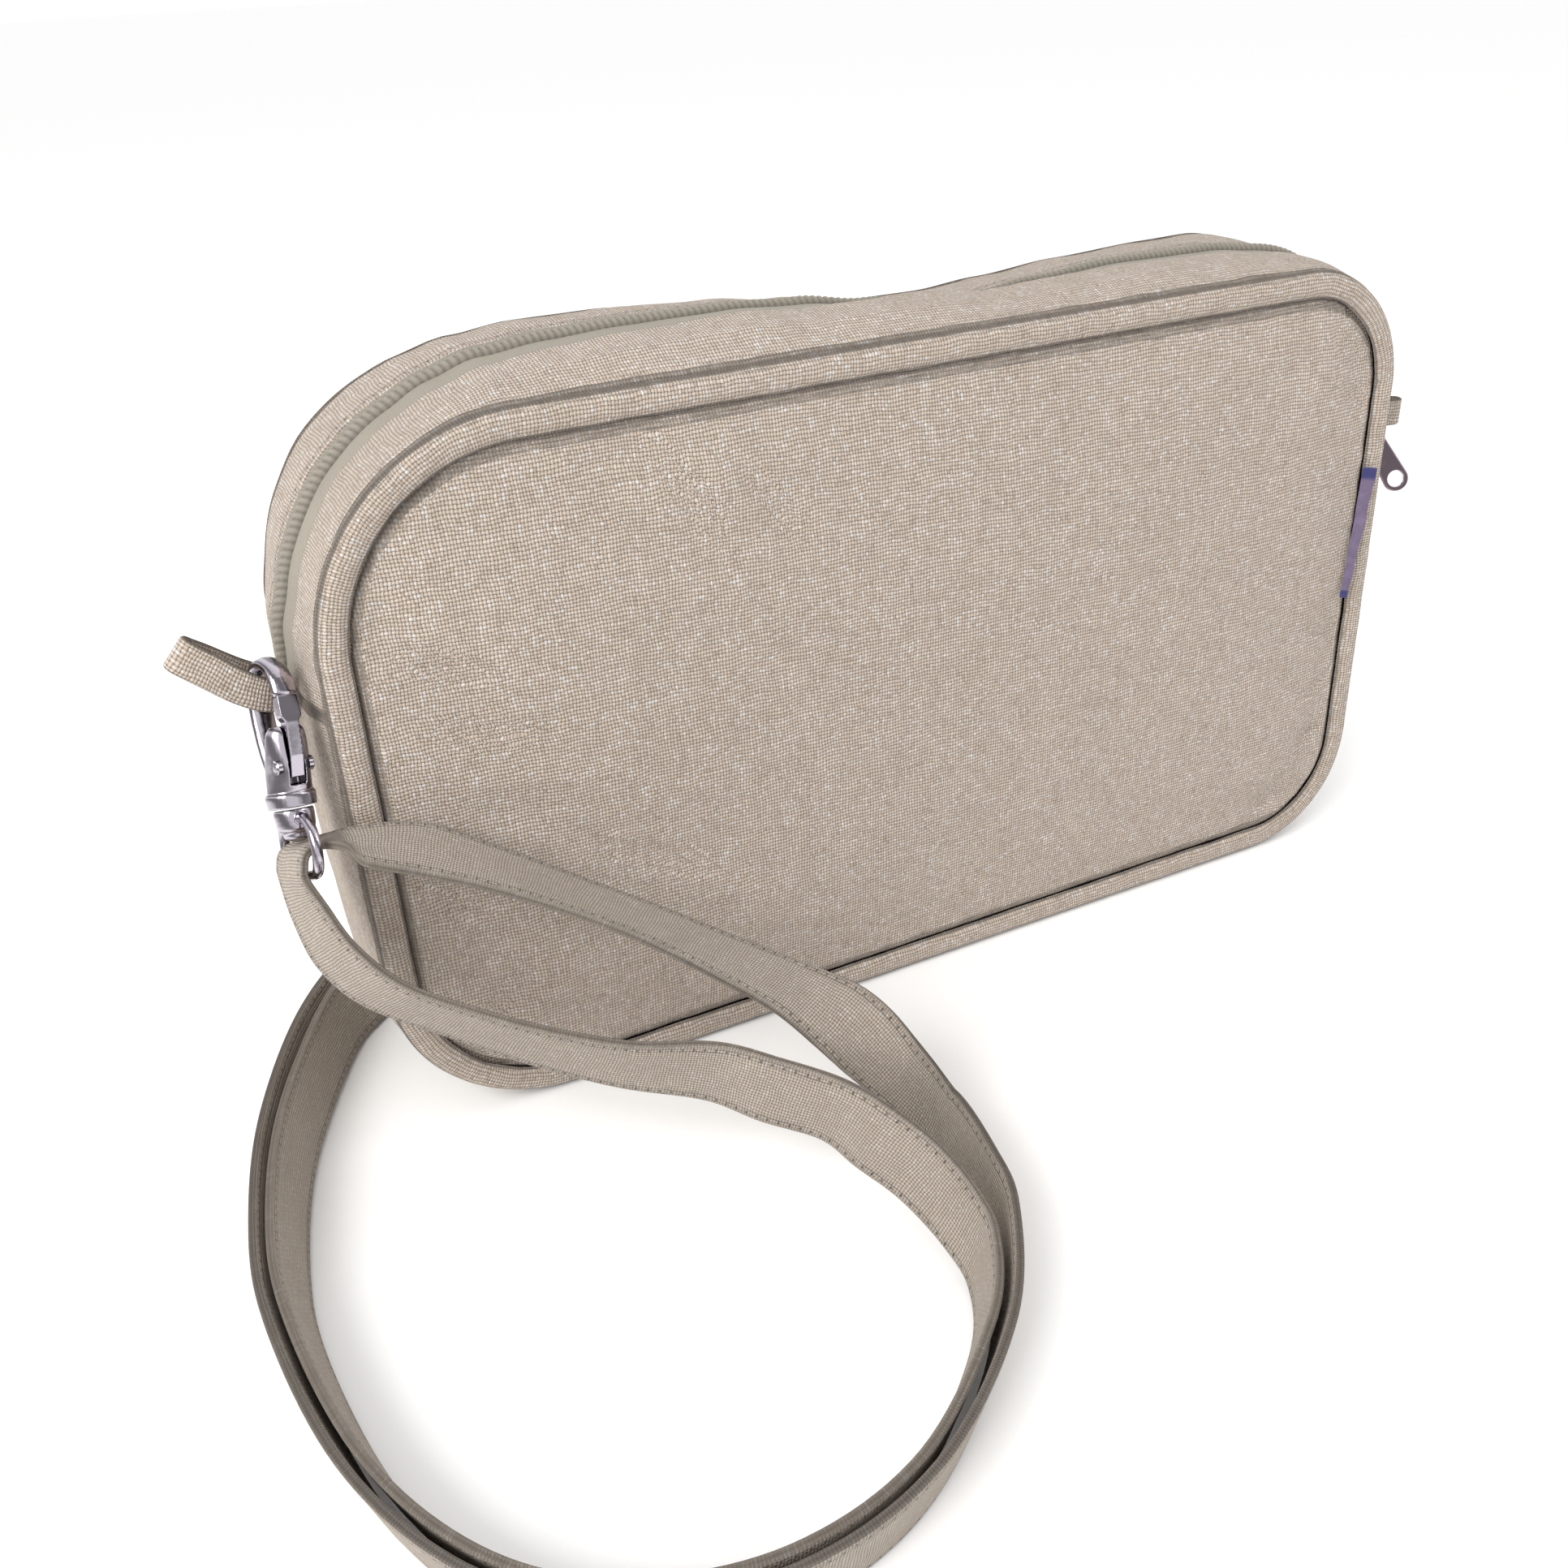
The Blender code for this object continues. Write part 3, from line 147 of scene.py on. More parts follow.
# Finer sizes of the cloth: fades of the tucks and the painted shade beside seams, tucks, puckers
# and unevenness
SEAM_FADE = 2.2 * MM
END_FADE = 2.0 * MM
BAND_TUCK = 0.7 * MM
BAND_SOFTNESS = 0.35 * MM
PANEL_UNDERLAP = 0.9 * MM
BORDER_SHIFT = 0.6 * MM
BORDER_DROP = 0.6 * MM
HIDDEN_DROP = 2.0 * MM
PUCKER_DEPTH = 0.75 * MM
PUCKER_REACH = 5.0 * MM
FACE_WAVE = 0.16 * MM
SAMPLE_STEP = 2.0 * MM
WELT_STEP = 1.6 * MM
COIL_STEP = 0.34 * MM
STITCH_INSET = 1.9 * MM
STRAP_STITCH_INSET = 1.7 * MM
TAB_SOFTNESS, TAB_CLEFT = 0.08 * MM, 0.2 * MM
STRAP_SOFTNESS, STRAP_CLEFT = 0.22 * MM, 0.45 * MM
LABEL_SLOPE = (0.58, -0.7)
LABEL_BOW = 0.35 * MM

# Rivet head of the clip: millimetres out, and radius as a share of the pin's
RIVET_ROWS = ((-0.6, 1.9), (0.35, 1.9), (0.50, 1.75), (0.46, 1.25), (0.60, 1.1), (0.66, 0.6))
ACROSS_CLIP = Vector((1.0, 0.0, 0.0))

# Voxels of the cast metal, and how it is smoothed
HOOK_SKIN = (0.19 * MM, 4)
GATE_SKIN = (0.15 * MM, 7)
RING_SKIN = (0.17 * MM, 4)
SLIDER_SKIN = (0.13 * MM, 4)
PULL_SKIN = (0.13 * MM, 3)

# Colours of the cloth: the painted shade that darkens it beside seams, in creases and grooves and
# on hidden sides, and the cool flecks among its threads
PAINTED_SHADE = (0.34, 0.27, 0.21)
COOL_FLECK = (0.66, 0.70, 0.74)

# Camera of the photograph, and the lights: place, aim, size, share of the key and colour
CAMERA_LENS, CAMERA_SENSOR = 34.459, 36.0
CAMERA_MATRIX = (
    (0.894468, 0.254221, -0.367829, -0.18442),
    (-0.444192, 0.411038, -0.796078, -0.33077),
    (-0.051188, 0.875454, 0.480584, 0.25281),
    (0.0, 0.0, 0.0, 1.0),
)
LIGHTS = (
    ("key_light", (-0.95, -0.55, 0.85), (0.0, 0.0, 0.1), 0.7, 1.0, (1.0, 0.985, 0.96)),
    ("side_light", (0.95, -0.55, 0.75), (0.0, 0.0, 0.08), 0.6, 0.15, (0.97, 0.98, 1.0)),
)
FLOOR_REACH = 30.0
FLOOR_DROP = 0.0004

FRONT = -BAG_DEPTH / 2
COIL_SHARE = 1 - (BACK_BAND + COIL_MARGIN + COIL_WIDTH / 2) / BAG_DEPTH
FRONT_EDGE_SHARE = FRONT_BAND / BAG_DEPTH
BACK_EDGE_SHARE = 1 - BACK_BAND / BAG_DEPTH

# Swell of the zipped part of the gusset: way from the left seam, front edge, coil, back seam
ZIP_SWELL = [
    (0.000, 0.45, 0.62, 0.30), (0.030, 0.22, 0.56, 0.30), (0.060, 0.00, 0.34, 0.19),
    (0.100, 0.00, 0.27, 0.25), (0.140, 0.08, 0.28, 0.37), (0.180, 0.14, 0.36, 0.40),
    (0.210, 0.34, 0.54, 0.46), (0.240, 0.60, 0.80, 0.65), (0.280, 0.80, 0.97, 0.82),
    (0.330, 0.92, 1.02, 0.80), (0.400, 0.98, 0.98, 0.60), (0.450, 0.80, 0.84, 0.30),
    (0.500, 0.76, 0.45, 0.06), (0.540, 0.68, 0.12, -0.10), (0.580, 0.48, 0.08, -0.12),
    (0.630, 0.57, 0.34, 0.04), (0.700, 0.63, 0.56, 0.26), (0.780, 0.52, 0.54, 0.39),
    (0.830, 0.30, 0.32, 0.42), (0.880, 0.36, 0.40, 0.36), (0.955, 0.45, 0.61, 0.16),
    (1.000, 0.45, 0.62, 0.12),
]

# Swell of the gusset below the seams: way from the right seam, front, middle, back
BASE_SWELL = [
    (0.000, 0.45, 0.62, 0.12), (0.100, 0.30, 0.42, 0.05), (0.190, 0.10, 0.14, 0.00),
    (0.275, 0.00, 0.00, 0.00), (0.735, 0.00, 0.00, 0.00), (0.850, 0.24, 0.30, 0.02),
    (0.920, 0.38, 0.50, 0.16), (1.000, 0.45, 0.62, 0.30),
]

# Broad dents of the faces: place across and up, spread across and up, depth
FRONT_DENTS = [
    (0.045, 0.86, 0.022, 0.055, 0.75), (0.040, 0.76, 0.022, 0.045, 0.85),
    (0.090, 0.66, 0.050, 0.060, 0.55), (0.100, 0.46, 0.060, 0.110, 0.95),
    (0.225, 0.33, 0.110, 0.085, 0.80), (0.080, 0.22, 0.035, 0.070, 0.70),
    (0.235, 0.93, 0.030, 0.055, 0.55), (0.165, 0.95, 0.020, 0.050, 0.45),
    (0.300, 0.87, 0.035, 0.100, -0.55), (0.420, 0.92, 0.040, 0.050, 0.35),
    (0.965, 0.86, 0.020, 0.060, 0.80), (0.970, 0.36, 0.018, 0.050, 0.80),
    (0.955, 0.21, 0.020, 0.050, 0.75), (0.900, 0.08, 0.035, 0.045, 0.70),
    (0.620, 0.60, 0.140, 0.200, -0.45),
]
BACK_DENTS = [
    (0.120, 0.80, 0.040, 0.080, 0.60), (0.300, 0.35, 0.120, 0.100, 0.60),
    (0.700, 0.62, 0.120, 0.120, -0.50), (0.900, 0.25, 0.050, 0.080, 0.60),
    (0.560, 0.94, 0.080, 0.050, 0.70),
]

# Narrow creases of the faces: place across and up, half length and half width in millimetres,
# angle in degrees from level, and depth in millimetres, with ridges below zero
FRONT_CREASES = [
    (0.285, 0.86, 13.0, 2.6, -62, 0.55), (0.255, 0.87, 11.0, 2.4, -60, -0.50),
    (0.325, 0.84, 12.0, 2.6, -56, -0.45), (0.355, 0.83, 10.0, 2.4, -58, 0.45),
    (0.110, 0.60, 12.0, 2.8, -14, 0.55), (0.085, 0.70, 9.0, 2.4, -22, 0.45),
    (0.130, 0.52, 14.0, 3.0, -8, -0.45), (0.060, 0.36, 10.0, 2.6, -38, 0.50),
    (0.230, 0.35, 18.0, 3.2, -28, 0.50), (0.075, 0.16, 12.0, 2.6, 52, 0.55),
    (0.105, 0.14, 12.0, 2.6, 50, -0.50), (0.950, 0.30, 7.0, 2.0, 16, 0.55),
    (0.948, 0.40, 7.0, 2.0, 10, 0.50), (0.945, 0.20, 7.0, 2.0, 24, 0.50),
    (0.905, 0.11, 8.0, 2.2, 52, 0.50), (0.955, 0.80, 8.0, 2.2, -34, 0.45),
    (0.935, 0.88, 8.0, 2.2, -46, 0.40),
]
BACK_CREASES = [
    (0.250, 0.86, 12.0, 2.6, -60, 0.50), (0.760, 0.84, 12.0, 2.6, 58, 0.50),
    (0.060, 0.40, 10.0, 2.6, -12, 0.50), (0.950, 0.44, 9.0, 2.4, 12, 0.50),
    (0.120, 0.12, 12.0, 2.6, 48, 0.50),
]

# Slider's cover and crown: place along it, then width or rise
SLIDER_COVER = [(-0.50, 0.60), (-0.20, 0.90), (0.30, 1.00), (0.50, 0.85)]
SLIDER_CROWN = [
    (-0.34, 0.15), (-0.26, 0.85), (-0.10, 1.00), (0.14, 1.00), (0.30, 0.85), (0.38, 0.15),
]

# Side label: way down, then the width and the shift to the middle of the face
LABEL_ROWS = [(0.00, 1.00, 0.00), (0.35, 0.82, 0.18), (0.75, 0.64, 0.48), (1.00, 0.52, 0.70)]

# Loop that holds the clip: out, across, up, and the slope in degrees
TAB_ROWS = [
    (0.158, -0.205, 0.070, 3), (0.370, -0.258, 0.140, 20), (0.560, -0.264, 0.265, 33),
    (0.740, -0.262, 0.430, 40), (0.900, -0.253, 0.575, 42), (0.942, -0.244, 0.613, 42),
    (0.959, -0.222, 0.628, 42), (0.942, -0.200, 0.613, 42), (0.900, -0.191, 0.575, 42),
    (0.800, -0.165, 0.485, 40), (0.560, -0.122, 0.270, 33), (0.370, -0.112, 0.150, 22),
    (0.195, -0.108, 0.070, 3),
]

# Strap: fold over the ring's bar, the two runs in the air, the ground, and the far end
FOLD = [
    (-1.36, 0.00, -0.20), (-1.32, 0.00, 1.20), (-0.90, 0.00, 2.40), (0.00, 0.00, 2.95),
    (1.40, 0.05, 3.15),
]
BACK_RUN = [
    (0.063, 0.042, -0.100, -84, 17), (0.094, 0.126, -0.110, -95, 4),
    (0.191, 0.153, -0.063, -110, -5), (0.294, 0.209, 0.025, -112, 1),
    (0.419, 0.284, 0.151, -119, 9), (0.549, 0.378, 0.286, -125, 11),
    (0.680, 0.487, 0.439, -132, 7), (0.801, 0.605, 0.582, -148, -2),
    (0.872, 0.722, 0.685, -162, -27), (0.935, 0.843, 0.831, 155, -50),
    (1.000, 1.000, 1.000, 159, -75),
]
FRONT_RUN = [
    (-0.014, 0.054, 0.088, -69, 35), (0.014, 0.114, 0.204, -62, 36),
    (0.082, 0.172, 0.322, -60, 36), (0.204, 0.233, 0.429, -68, 44), (0.352, 0.303, 0.541, -69, 52),
    (0.507, 0.381, 0.623, -72, 63), (0.665, 0.468, 0.653, -60, 74), (0.757, 0.559, 0.684, -34, 73),
    (0.857, 0.651, 0.724, -41, 70), (0.910, 0.740, 0.774, -33, 60), (0.963, 0.826, 0.842, -40, 60),
    (1.000, 0.914, 0.935, -40, 68), (1.000, 1.000, 1.000, -30, 75),
]
GROUND_RUN = [
    (0.490, -0.075, 0.30), (0.473, -0.170, 0.26), (0.440, -0.245, 0.21), (0.330, -0.355, 0.20),
    (0.143, -0.448, 0.18), (-0.050, -0.473, 0.18), (-0.233, -0.436, 0.18), (-0.367, -0.355, 0.19),
    (-0.458, -0.218, 0.19), (-0.497, -0.033, 0.19), (-0.484, 0.103, 0.19), (-0.431, 0.260, 0.22),
    (-0.325, 0.428, 0.26),
]
FAR_RUN = [
    (1.06, 1.26, 15), (2.69, 2.38, 15), (4.30, 2.95, 15), (5.60, 2.95, 15), (6.25, 2.30, 15),
    (5.60, 1.66, 15), (4.70, 1.62, 35), (3.70, 1.66, 90), (2.70, 1.62, 145), (1.75, 1.32, 165),
    (0.85, 0.62, 165),
]

# Clip: barrel, collar and half ring, as shares of their own sizes
BARREL_ROWS = [
    (0.00, -0.69, 0.40, 0.62), (0.08, -0.62, 0.64, 0.80), (0.27, -0.46, 0.85, 0.87),
    (0.55, -0.19, 1.08, 0.88), (0.79, -0.04, 0.96, 0.92), (0.82, 0.00, 0.99, 0.99),
    (0.86, 0.00, 1.04, 1.04), (1.00, 0.00, 1.00, 1.00),
]
COLLAR_ROWS = [
    (0.00, 0.84), (0.08, 1.00), (0.80, 0.95), (0.98, 0.74), (1.20, 0.68), (1.34, 0.42),
    (1.40, 0.16),
]
RING_ROWS = [
    (0.24, 1.00), (0.58, 1.00), (0.84, 0.86), (0.98, 0.60), (0.96, 0.30), (0.80, 0.08),
    (0.46, 0.01), (0.00, 0.00),
]


# Settings that a user would change


def length_setting(name, description, value, low, high, precision=4):
    return FloatProperty(
        name=name, description=description, default=value, min=low, max=high,
        unit="LENGTH", precision=precision)


def colour_setting(name, description, *value):
    return FloatVectorProperty(
        name=name, description=description, default=value, subtype="COLOR", min=0.0, max=1.0)


class PouchCloth(bpy.types.PropertyGroup):
    """Weave and stitching of the pouch's cloth."""

    thread_pitch: length_setting(
        "Linen Thread Pitch", "Distance between two threads of the linen",
        0.00085, 0.0002, 0.002, 5)
    strap_pitch: length_setting(
        "Strap Thread Pitch", "Distance between two threads of the strap",
        0.00075, 0.0002, 0.002, 5)
    stitch_length: length_setting(
        "Stitch Length", "Length of one stitch of the seams that show", 0.0026, 0.001, 0.006)
    bead_pitch: length_setting(
        "Zip Bead Pitch", "Distance between two beads of the zip coil", 0.0017, 0.0008, 0.004)
    crease_depth: FloatProperty(
        name="Crease Depth", description="Share of the creases' full depth in both faces",
        default=1.7, min=0.0, max=2.0, subtype="FACTOR")


class PouchColours(bpy.types.PropertyGroup):
    """Colours of the pouch's finishes."""

    linen: colour_setting("Linen", "Middle colour of the linen", 0.44, 0.368, 0.306)
    linen_pale: colour_setting("Linen Slubs", "Pale threads of the linen", 0.66, 0.60, 0.55)
    linen_dark: colour_setting("Linen Flecks", "Dark threads of the linen", 0.21, 0.16, 0.12)
    strap: colour_setting("Strap", "Middle colour of the strap", 0.37, 0.315, 0.262)
    zip_cloth: colour_setting("Zip", "Colour of the zip's tape and coil", 0.235, 0.214, 0.176)
    label: colour_setting("Label", "Middle colour of the plain label", 0.12, 0.085, 0.16)
    label_end: colour_setting("Label Ends", "Colour of the label's folded ends", 0.006, 0.008, 0.12)
    # Both metal colours are tinted lilac and darkened: a painted reflection of a lilac, darker room
    # round the metal
    chrome: colour_setting("Clip Metal", "Colour of the plated clip", 0.50, 0.46, 0.52)
    steel: colour_setting("Zip Metal", "Colour of the slider and its pull", 0.44, 0.34, 0.40)


class PouchStage(bpy.types.PropertyGroup):
    """Floor and light round the pouch."""

    floor: colour_setting("Floor", "Colour of the plain floor", 0.98, 0.98, 0.98)
    sky_strength: FloatProperty(
        name="Fill Light", description="Strength of the even light from all round",
        default=1.0, min=0.0, max=5.0)
    key_power: FloatProperty(
        name="Key Light", description="Power of the large light above",
        default=13.0, min=0.0, max=200.0, unit="POWER")


# Nodes of the materials


def math_node(operation):
    """A method that adds one Math node to a field."""
    return lambda field, *others: field.math(operation, *others)


class Field:
    """A value that changes over a surface. Python expressions on it add Math nodes."""

    def __init__(self, surface, socket):
        self.surface = surface
        self.socket = socket

    def math(self, operation, *others):
        inputs = dict(enumerate((self, *others)))
        return self.surface.node("ShaderNodeMath", {"operation": operation}, inputs)

    __add__ = __radd__ = math_node("ADD")
    __mul__ = __rmul__ = math_node("MULTIPLY")
    __sub__ = math_node("SUBTRACT")
    __truediv__ = math_node("DIVIDE")
    __pow__ = math_node("POWER")
    __abs__ = math_node("ABSOLUTE")
    floor = math_node("FLOOR")
    fract = math_node("FRACT")
    above = math_node("GREATER_THAN")

    def __rsub__(self, other):
        return self.surface.node(
            "ShaderNodeMath", {"operation": "SUBTRACT"}, {0: other, 1: self})

    def ease(self, low, high):
        """0 below low, 1 above high, and eased between."""
        inputs = {"Value": self, "From Min": low, "From Max": high}
        settings = {"interpolation_type": "SMOOTHSTEP"}
        return self.surface.node("ShaderNodeMapRange", settings, inputs)

    def part(self, index):
        return Field(self.surface, self.socket.node.outputs[index])


class Surface:
    """One material and the nodes that feed its shader."""

    def __init__(self, name, roughness, metallic=0.0, sheen=0.0, specular=0.5):
        self.material = bpy.data.materials.new(name)
        self.material.use_nodes = True
        self.tree = self.material.node_tree
        self.shader = self.tree.nodes["Principled BSDF"]
        self.feed("Roughness", roughness)
        self.feed("Metallic", metallic)
        self.feed("Specular IOR Level", specular)
        self.feed("Sheen Weight", sheen)
        self.feed("Sheen Roughness", 0.6)

    def feed(self, name, value):
        self.connect(self.shader.inputs[name], value)

    def connect(self, socket, value):
        if isinstance(value, Field):
            self.tree.links.new(value.socket, socket)
        else:
            socket.default_value = value

    def node(self, kind, settings=None, inputs=None, output=0):
        """Any node: its type, its settings, then the values or links of its sockets."""
        made = self.tree.nodes.new(kind)
        for name, value in (settings or {}).items():
            setattr(made, name, value)
        for name, value in (inputs or {}).items():
            self.connect(made.inputs[name], value)
        return Field(self, made.outputs[output])

    def mark(self):
        """Place on the cloth: along, across, and a third value, which is the painted shade on most
        pieces and the share of the dyed ends on the label.
        """
        place = self.node("ShaderNodeAttribute", {"attribute_name": "cloth"}, output="Vector")
        along = self.node("ShaderNodeSeparateXYZ", inputs={0: place})
        return place, along, along.part(1), along.part(2)

    def vector(self, x, y, z=0.0):
        return self.node("ShaderNodeCombineXYZ", inputs={0: x, 1: y, 2: z})

    def cloud(self, place, scale, detail=2.0, roughness=0.5):
        inputs = {"Vector": place, "Scale": scale, "Detail": detail, "Roughness": roughness}
        return self.node("ShaderNodeTexNoise", inputs=inputs)

    def grain(self, place):
        return self.node("ShaderNodeTexWhiteNoise", {"noise_dimensions": "3D"}, {"Vector": place})

    def blend(self, factor, first, second, mode="MIX"):
        settings = {"data_type": "RGBA", "blend_type": mode}
        inputs = {0: factor, 6: as_colour(first), 7: as_colour(second)}
        return self.node("ShaderNodeMix", settings, inputs, output=2)

    def grey(self, value):
        return self.node("ShaderNodeCombineColor", inputs={0: value, 1: value, 2: value})

    def relief(self, height, distance, strength=1.0):
        inputs = {"Height": height, "Distance": distance, "Strength": strength}
        self.feed("Normal", self.node("ShaderNodeBump", inputs=inputs))


def as_colour(value):
    """A colour for a socket: a link stays as it is, and three numbers get their fourth."""
    if isinstance(value, Field):
        return value
    return (*value[:3], 1.0)


def scaled(colour, factor):
    return tuple(min(1.0, share * factor) for share in colour)


def woven(name, colours, pitch, contrast=1.0, stitches=(), stitch_length=0.0026, roughness=0.92):
    """Plain weave with slubs and flecks, painted shade beside seams, in creases and in grooves, and
    rows of stitches.
    """
    middle, pale, dark = colours
    surface = Surface(name, roughness, sheen=0.12, specular=0.25)
    # The fourth value of the mark is the painted shade
    place, along, across, seam = surface.mark()
    # The warp lies closer than the weft, and both wander a little
    u = along / (pitch * 0.92) + surface.cloud(place, 140.0, 1.0) * 1.6
    v = across / (pitch * 1.08) + surface.cloud(place, 115.0, 1.0) * 1.6
    column, row = u.floor(), v.floor()
    over = ((column + row) * 0.5).fract().above(0.25)
    rise_u = 1 - (u.fract() * 2 - 1) ** 2
    rise_v = 1 - (v.fract() * 2 - 1) ** 2
    top_warp = rise_u * (0.55 + 0.45 * rise_v)
    top_weft = rise_v * (0.55 + 0.45 * rise_u)
    height = top_weft + (top_warp - top_weft) * over
    pit = (1 - rise_u) * (1 - rise_v)

    # Each thread keeps its tone for a way, which gives slubs
    warp_tone = surface.cloud(surface.vector(column * 7.31, v * 0.16, 2.0), 1.0, 2.0)
    weft_tone = surface.cloud(surface.vector(u * 0.16, row * 7.31, 9.0), 1.0, 2.0)
    tone = weft_tone + (warp_tone - weft_tone) * over
    spot = surface.grain(surface.vector(column, row, 4.0))
    drift = surface.cloud(place, 48.0, 3.0)
    base = middle
    for value, low, high, share, colour in (
        (tone, 0.48, 0.80, 0.50, pale),
        (1 - tone, 0.48, 0.82, 0.46, dark),
        (spot, 0.90, 0.97, 0.30, COOL_FLECK),
        (1 - spot, 0.90, 0.97, 0.30, dark),
    ):
        base = surface.blend(value.ease(low, high) * share * contrast, base, colour)
    # Painted light of the weave: the tops of the threads lighter and the pits between them darker;
    # the drift is an uneven tone of the cloth
    shade = (0.84 + 0.36 * height - 0.85 * pit) * (0.94 + 0.12 * drift)

    relief = height
    for offset in stitches:
        away = abs(across - offset)
        line = 1 - away.ease(0.00022, 0.00062)
        groove = 1 - away.ease(0.0004, 0.0013)
        dash = abs((along / stitch_length).fract() - 0.5)
        thread = line * (1 - dash.ease(0.36, 0.46))
        hole = line * dash.ease(0.42, 0.48)
        # Painted shade in the stitch's groove and its needle holes, and the thread a little lighter
        shade = shade * (1 - 0.18 * groove) * (1 - 0.50 * hole) * (1 + 0.22 * thread)
        relief = relief - groove * 0.9 + thread * 1.3 - hole * 0.8
    toned = surface.blend(1.0, base, surface.grey(shade), "MULTIPLY")
    # Painted shade: the third mark darkens the cloth towards the painted shade colour beside seams,
    # in creases, in grooves and on hidden inner sides
    surface.feed("Base Color", surface.blend(seam * 0.62, toned, PAINTED_SHADE, "MULTIPLY"))
    surface.relief(relief, pitch * 0.42)
    return surface.material


def zip_weave(name, colour, beaded):
    """Dense tape of the zip, or its coil when beaded."""
    surface = Surface(name, 0.78, sheen=0.1, specular=0.3)
    place, along, across, seam = surface.mark()
    pebble = surface.node(
        "ShaderNodeTexVoronoi", {"feature": "F1"}, {"Vector": place, "Scale": 1500.0})
    fibre = surface.cloud(surface.vector(along * 0.25, across), 3800.0, 2.0)
    drift = surface.cloud(place, 60.0, 2.0)
    # Fibre and drift are tone of the tape; the third mark adds painted shade between the coil's
    # beads and at the tape's ends
    shade = (0.86 + 0.22 * fibre) * (0.92 + 0.16 * drift) * (1 - 0.6 * seam)
    base = surface.blend(pebble.ease(0.0, 0.8) * 0.35, scaled(colour, 1.2), colour)
    surface.feed("Base Color", surface.blend(1.0, base, surface.grey(shade), "MULTIPLY"))
    surface.relief(fibre if beaded else (1 - pebble) * 0.6 + fibre * 0.4, 0.00018)
    return surface.material


def satin_label(name, middle, ends):
    """Narrow satin label, plain, with darker ends."""
    surface = Surface(name, 0.5, sheen=0.3, specular=0.4)
    place, along, _, end = surface.mark()
    rib = 1 - ((along / 0.00035).fract() * 2 - 1) ** 2
    cloud = surface.cloud(place, 260.0, 2.0)
    base = surface.blend(cloud.ease(0.35, 0.75) * 0.7, middle, scaled(middle, 1.5))
    base = surface.blend(end.ease(0.35, 0.65), base, ends)
    # Painted shade between the ribs, and their tops lighter
    shade = surface.grey(0.80 + 0.25 * rib)
    surface.feed("Base Color", surface.blend(1.0, base, shade, "MULTIPLY"))
    surface.relief(rib, 0.00010)
    return surface.material


def plated(name, colour, roughness, wear):
    """Plated metal with a painted reflection that makes some sides dark and others bright, fine
    scratches and an uneven polish.
    """
    surface = Surface(name, roughness, metallic=1.0)
    place = surface.node("ShaderNodeTexCoord", output="Object")
    haze = surface.cloud(place, 420.0, 3.0)
    drawn = surface.node("ShaderNodeMapping", inputs={"Vector": place, "Scale": (1.0, 1.0, 9.0)})
    scratch = surface.cloud(drawn, 900.0, 2.0, 0.7)
    smear = scratch.ease(0.60, 0.78)
    surface.feed("Roughness", roughness + haze * 0.08 * wear + smear * 0.14 * wear)
    # Painted reflection: the direction that a side faces stands in for the dark and bright room
    # round the metal
    sides = surface.node("ShaderNodeNewGeometry", output="Normal")
    right = surface.node("ShaderNodeSeparateXYZ", inputs={0: sides})
    turn = right * 1.1 + right.part(1) * 0.6 + right.part(2) * 1.4 + haze * 0.3
    # Painted reflection: repeating dark bands as the facing turns, and a lighter tone on sides that
    # face upward
    painted_dark_band = 1 - abs((turn * 0.9).fract() * 2 - 1).ease(0.15, 0.75)
    tone = surface.blend(turn.ease(0.9, 1.7), colour, scaled(colour, 1.7))
    surface.feed("Base Color", surface.blend(painted_dark_band * 0.85, tone, scaled(colour, 0.16)))
    surface.relief(haze * 0.6 + scratch * 0.4, 0.00003 * wear)
    return surface.material


def plain(name, colour, roughness):
    """Even finish of the floor."""
    surface = Surface(name, roughness)
    surface.feed("Base Color", (*colour, 1.0))
    return surface.material


def linen_finish(context, name, *more):
    """Linen in the user's colours and pitch, with more settings of the weave."""
    colours = context.scene.pouch_colours
    tones = tuple(colours.linen), tuple(colours.linen_pale), tuple(colours.linen_dark)
    return woven(name, tones, context.scene.pouch_cloth.thread_pitch, *more)


# Meshes


def link_mesh(name, mesh, material, body="pouch", sharp_degrees=60.0):
    """A new piece on a body, smooth over its round parts."""
    mesh.materials.clear()
    mesh.materials.append(material)
    mesh.shade_smooth()
    mesh.set_sharp_from_angle(angle=math.radians(sharp_degrees))
    made = bpy.data.objects.new(name, mesh)
    bpy.context.scene.collection.objects.link(made)
    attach(made, body)
    return made


def skin_mesh(name, rows, cloth=True, loop=False, caps=True):
    """Mesh over closed rows. Rows of cloth hold points with their marks, and others points.

    A loop joins the last row to the first. Caps close both ends of what isn't a loop.
    """
    bm = bmesh.new()
    layer = bm.verts.layers.float_vector.new("cloth") if cloth else None
    made = []
    for row in rows:
        line = [bm.verts.new(entry[0] if cloth else entry) for entry in row]
        if cloth:
            for vert, (_, mark) in zip(line, row):
                vert[layer] = Vector(mark)
        made.append(line)
    count = len(made[0])
    for here, after in zip(made, made[1:] + made[:1] if loop else made[1:]):
        for k in range(count):
            m = (k + 1) % count
            bm.faces.new((here[k], after[k], after[m], here[m]))
    if caps and not loop:
        bm.faces.new(made[0])
        bm.faces.new(made[-1][::-1])
    bmesh.ops.recalc_face_normals(bm, faces=bm.faces[:])
    mesh = bpy.data.meshes.new(name)
    bm.to_mesh(mesh)
    bm.free()
    return mesh


def cloth_piece(name, rows, material, caps=True):
    return link_mesh(name, skin_mesh(name, rows, caps=caps), material)


def guide(name, rings):
    """A helper solid through rings, which is used up while a piece is made."""
    made = bpy.data.objects.new(name, skin_mesh(name, rings, cloth=False))
    bpy.context.scene.collection.objects.link(made)
    return made


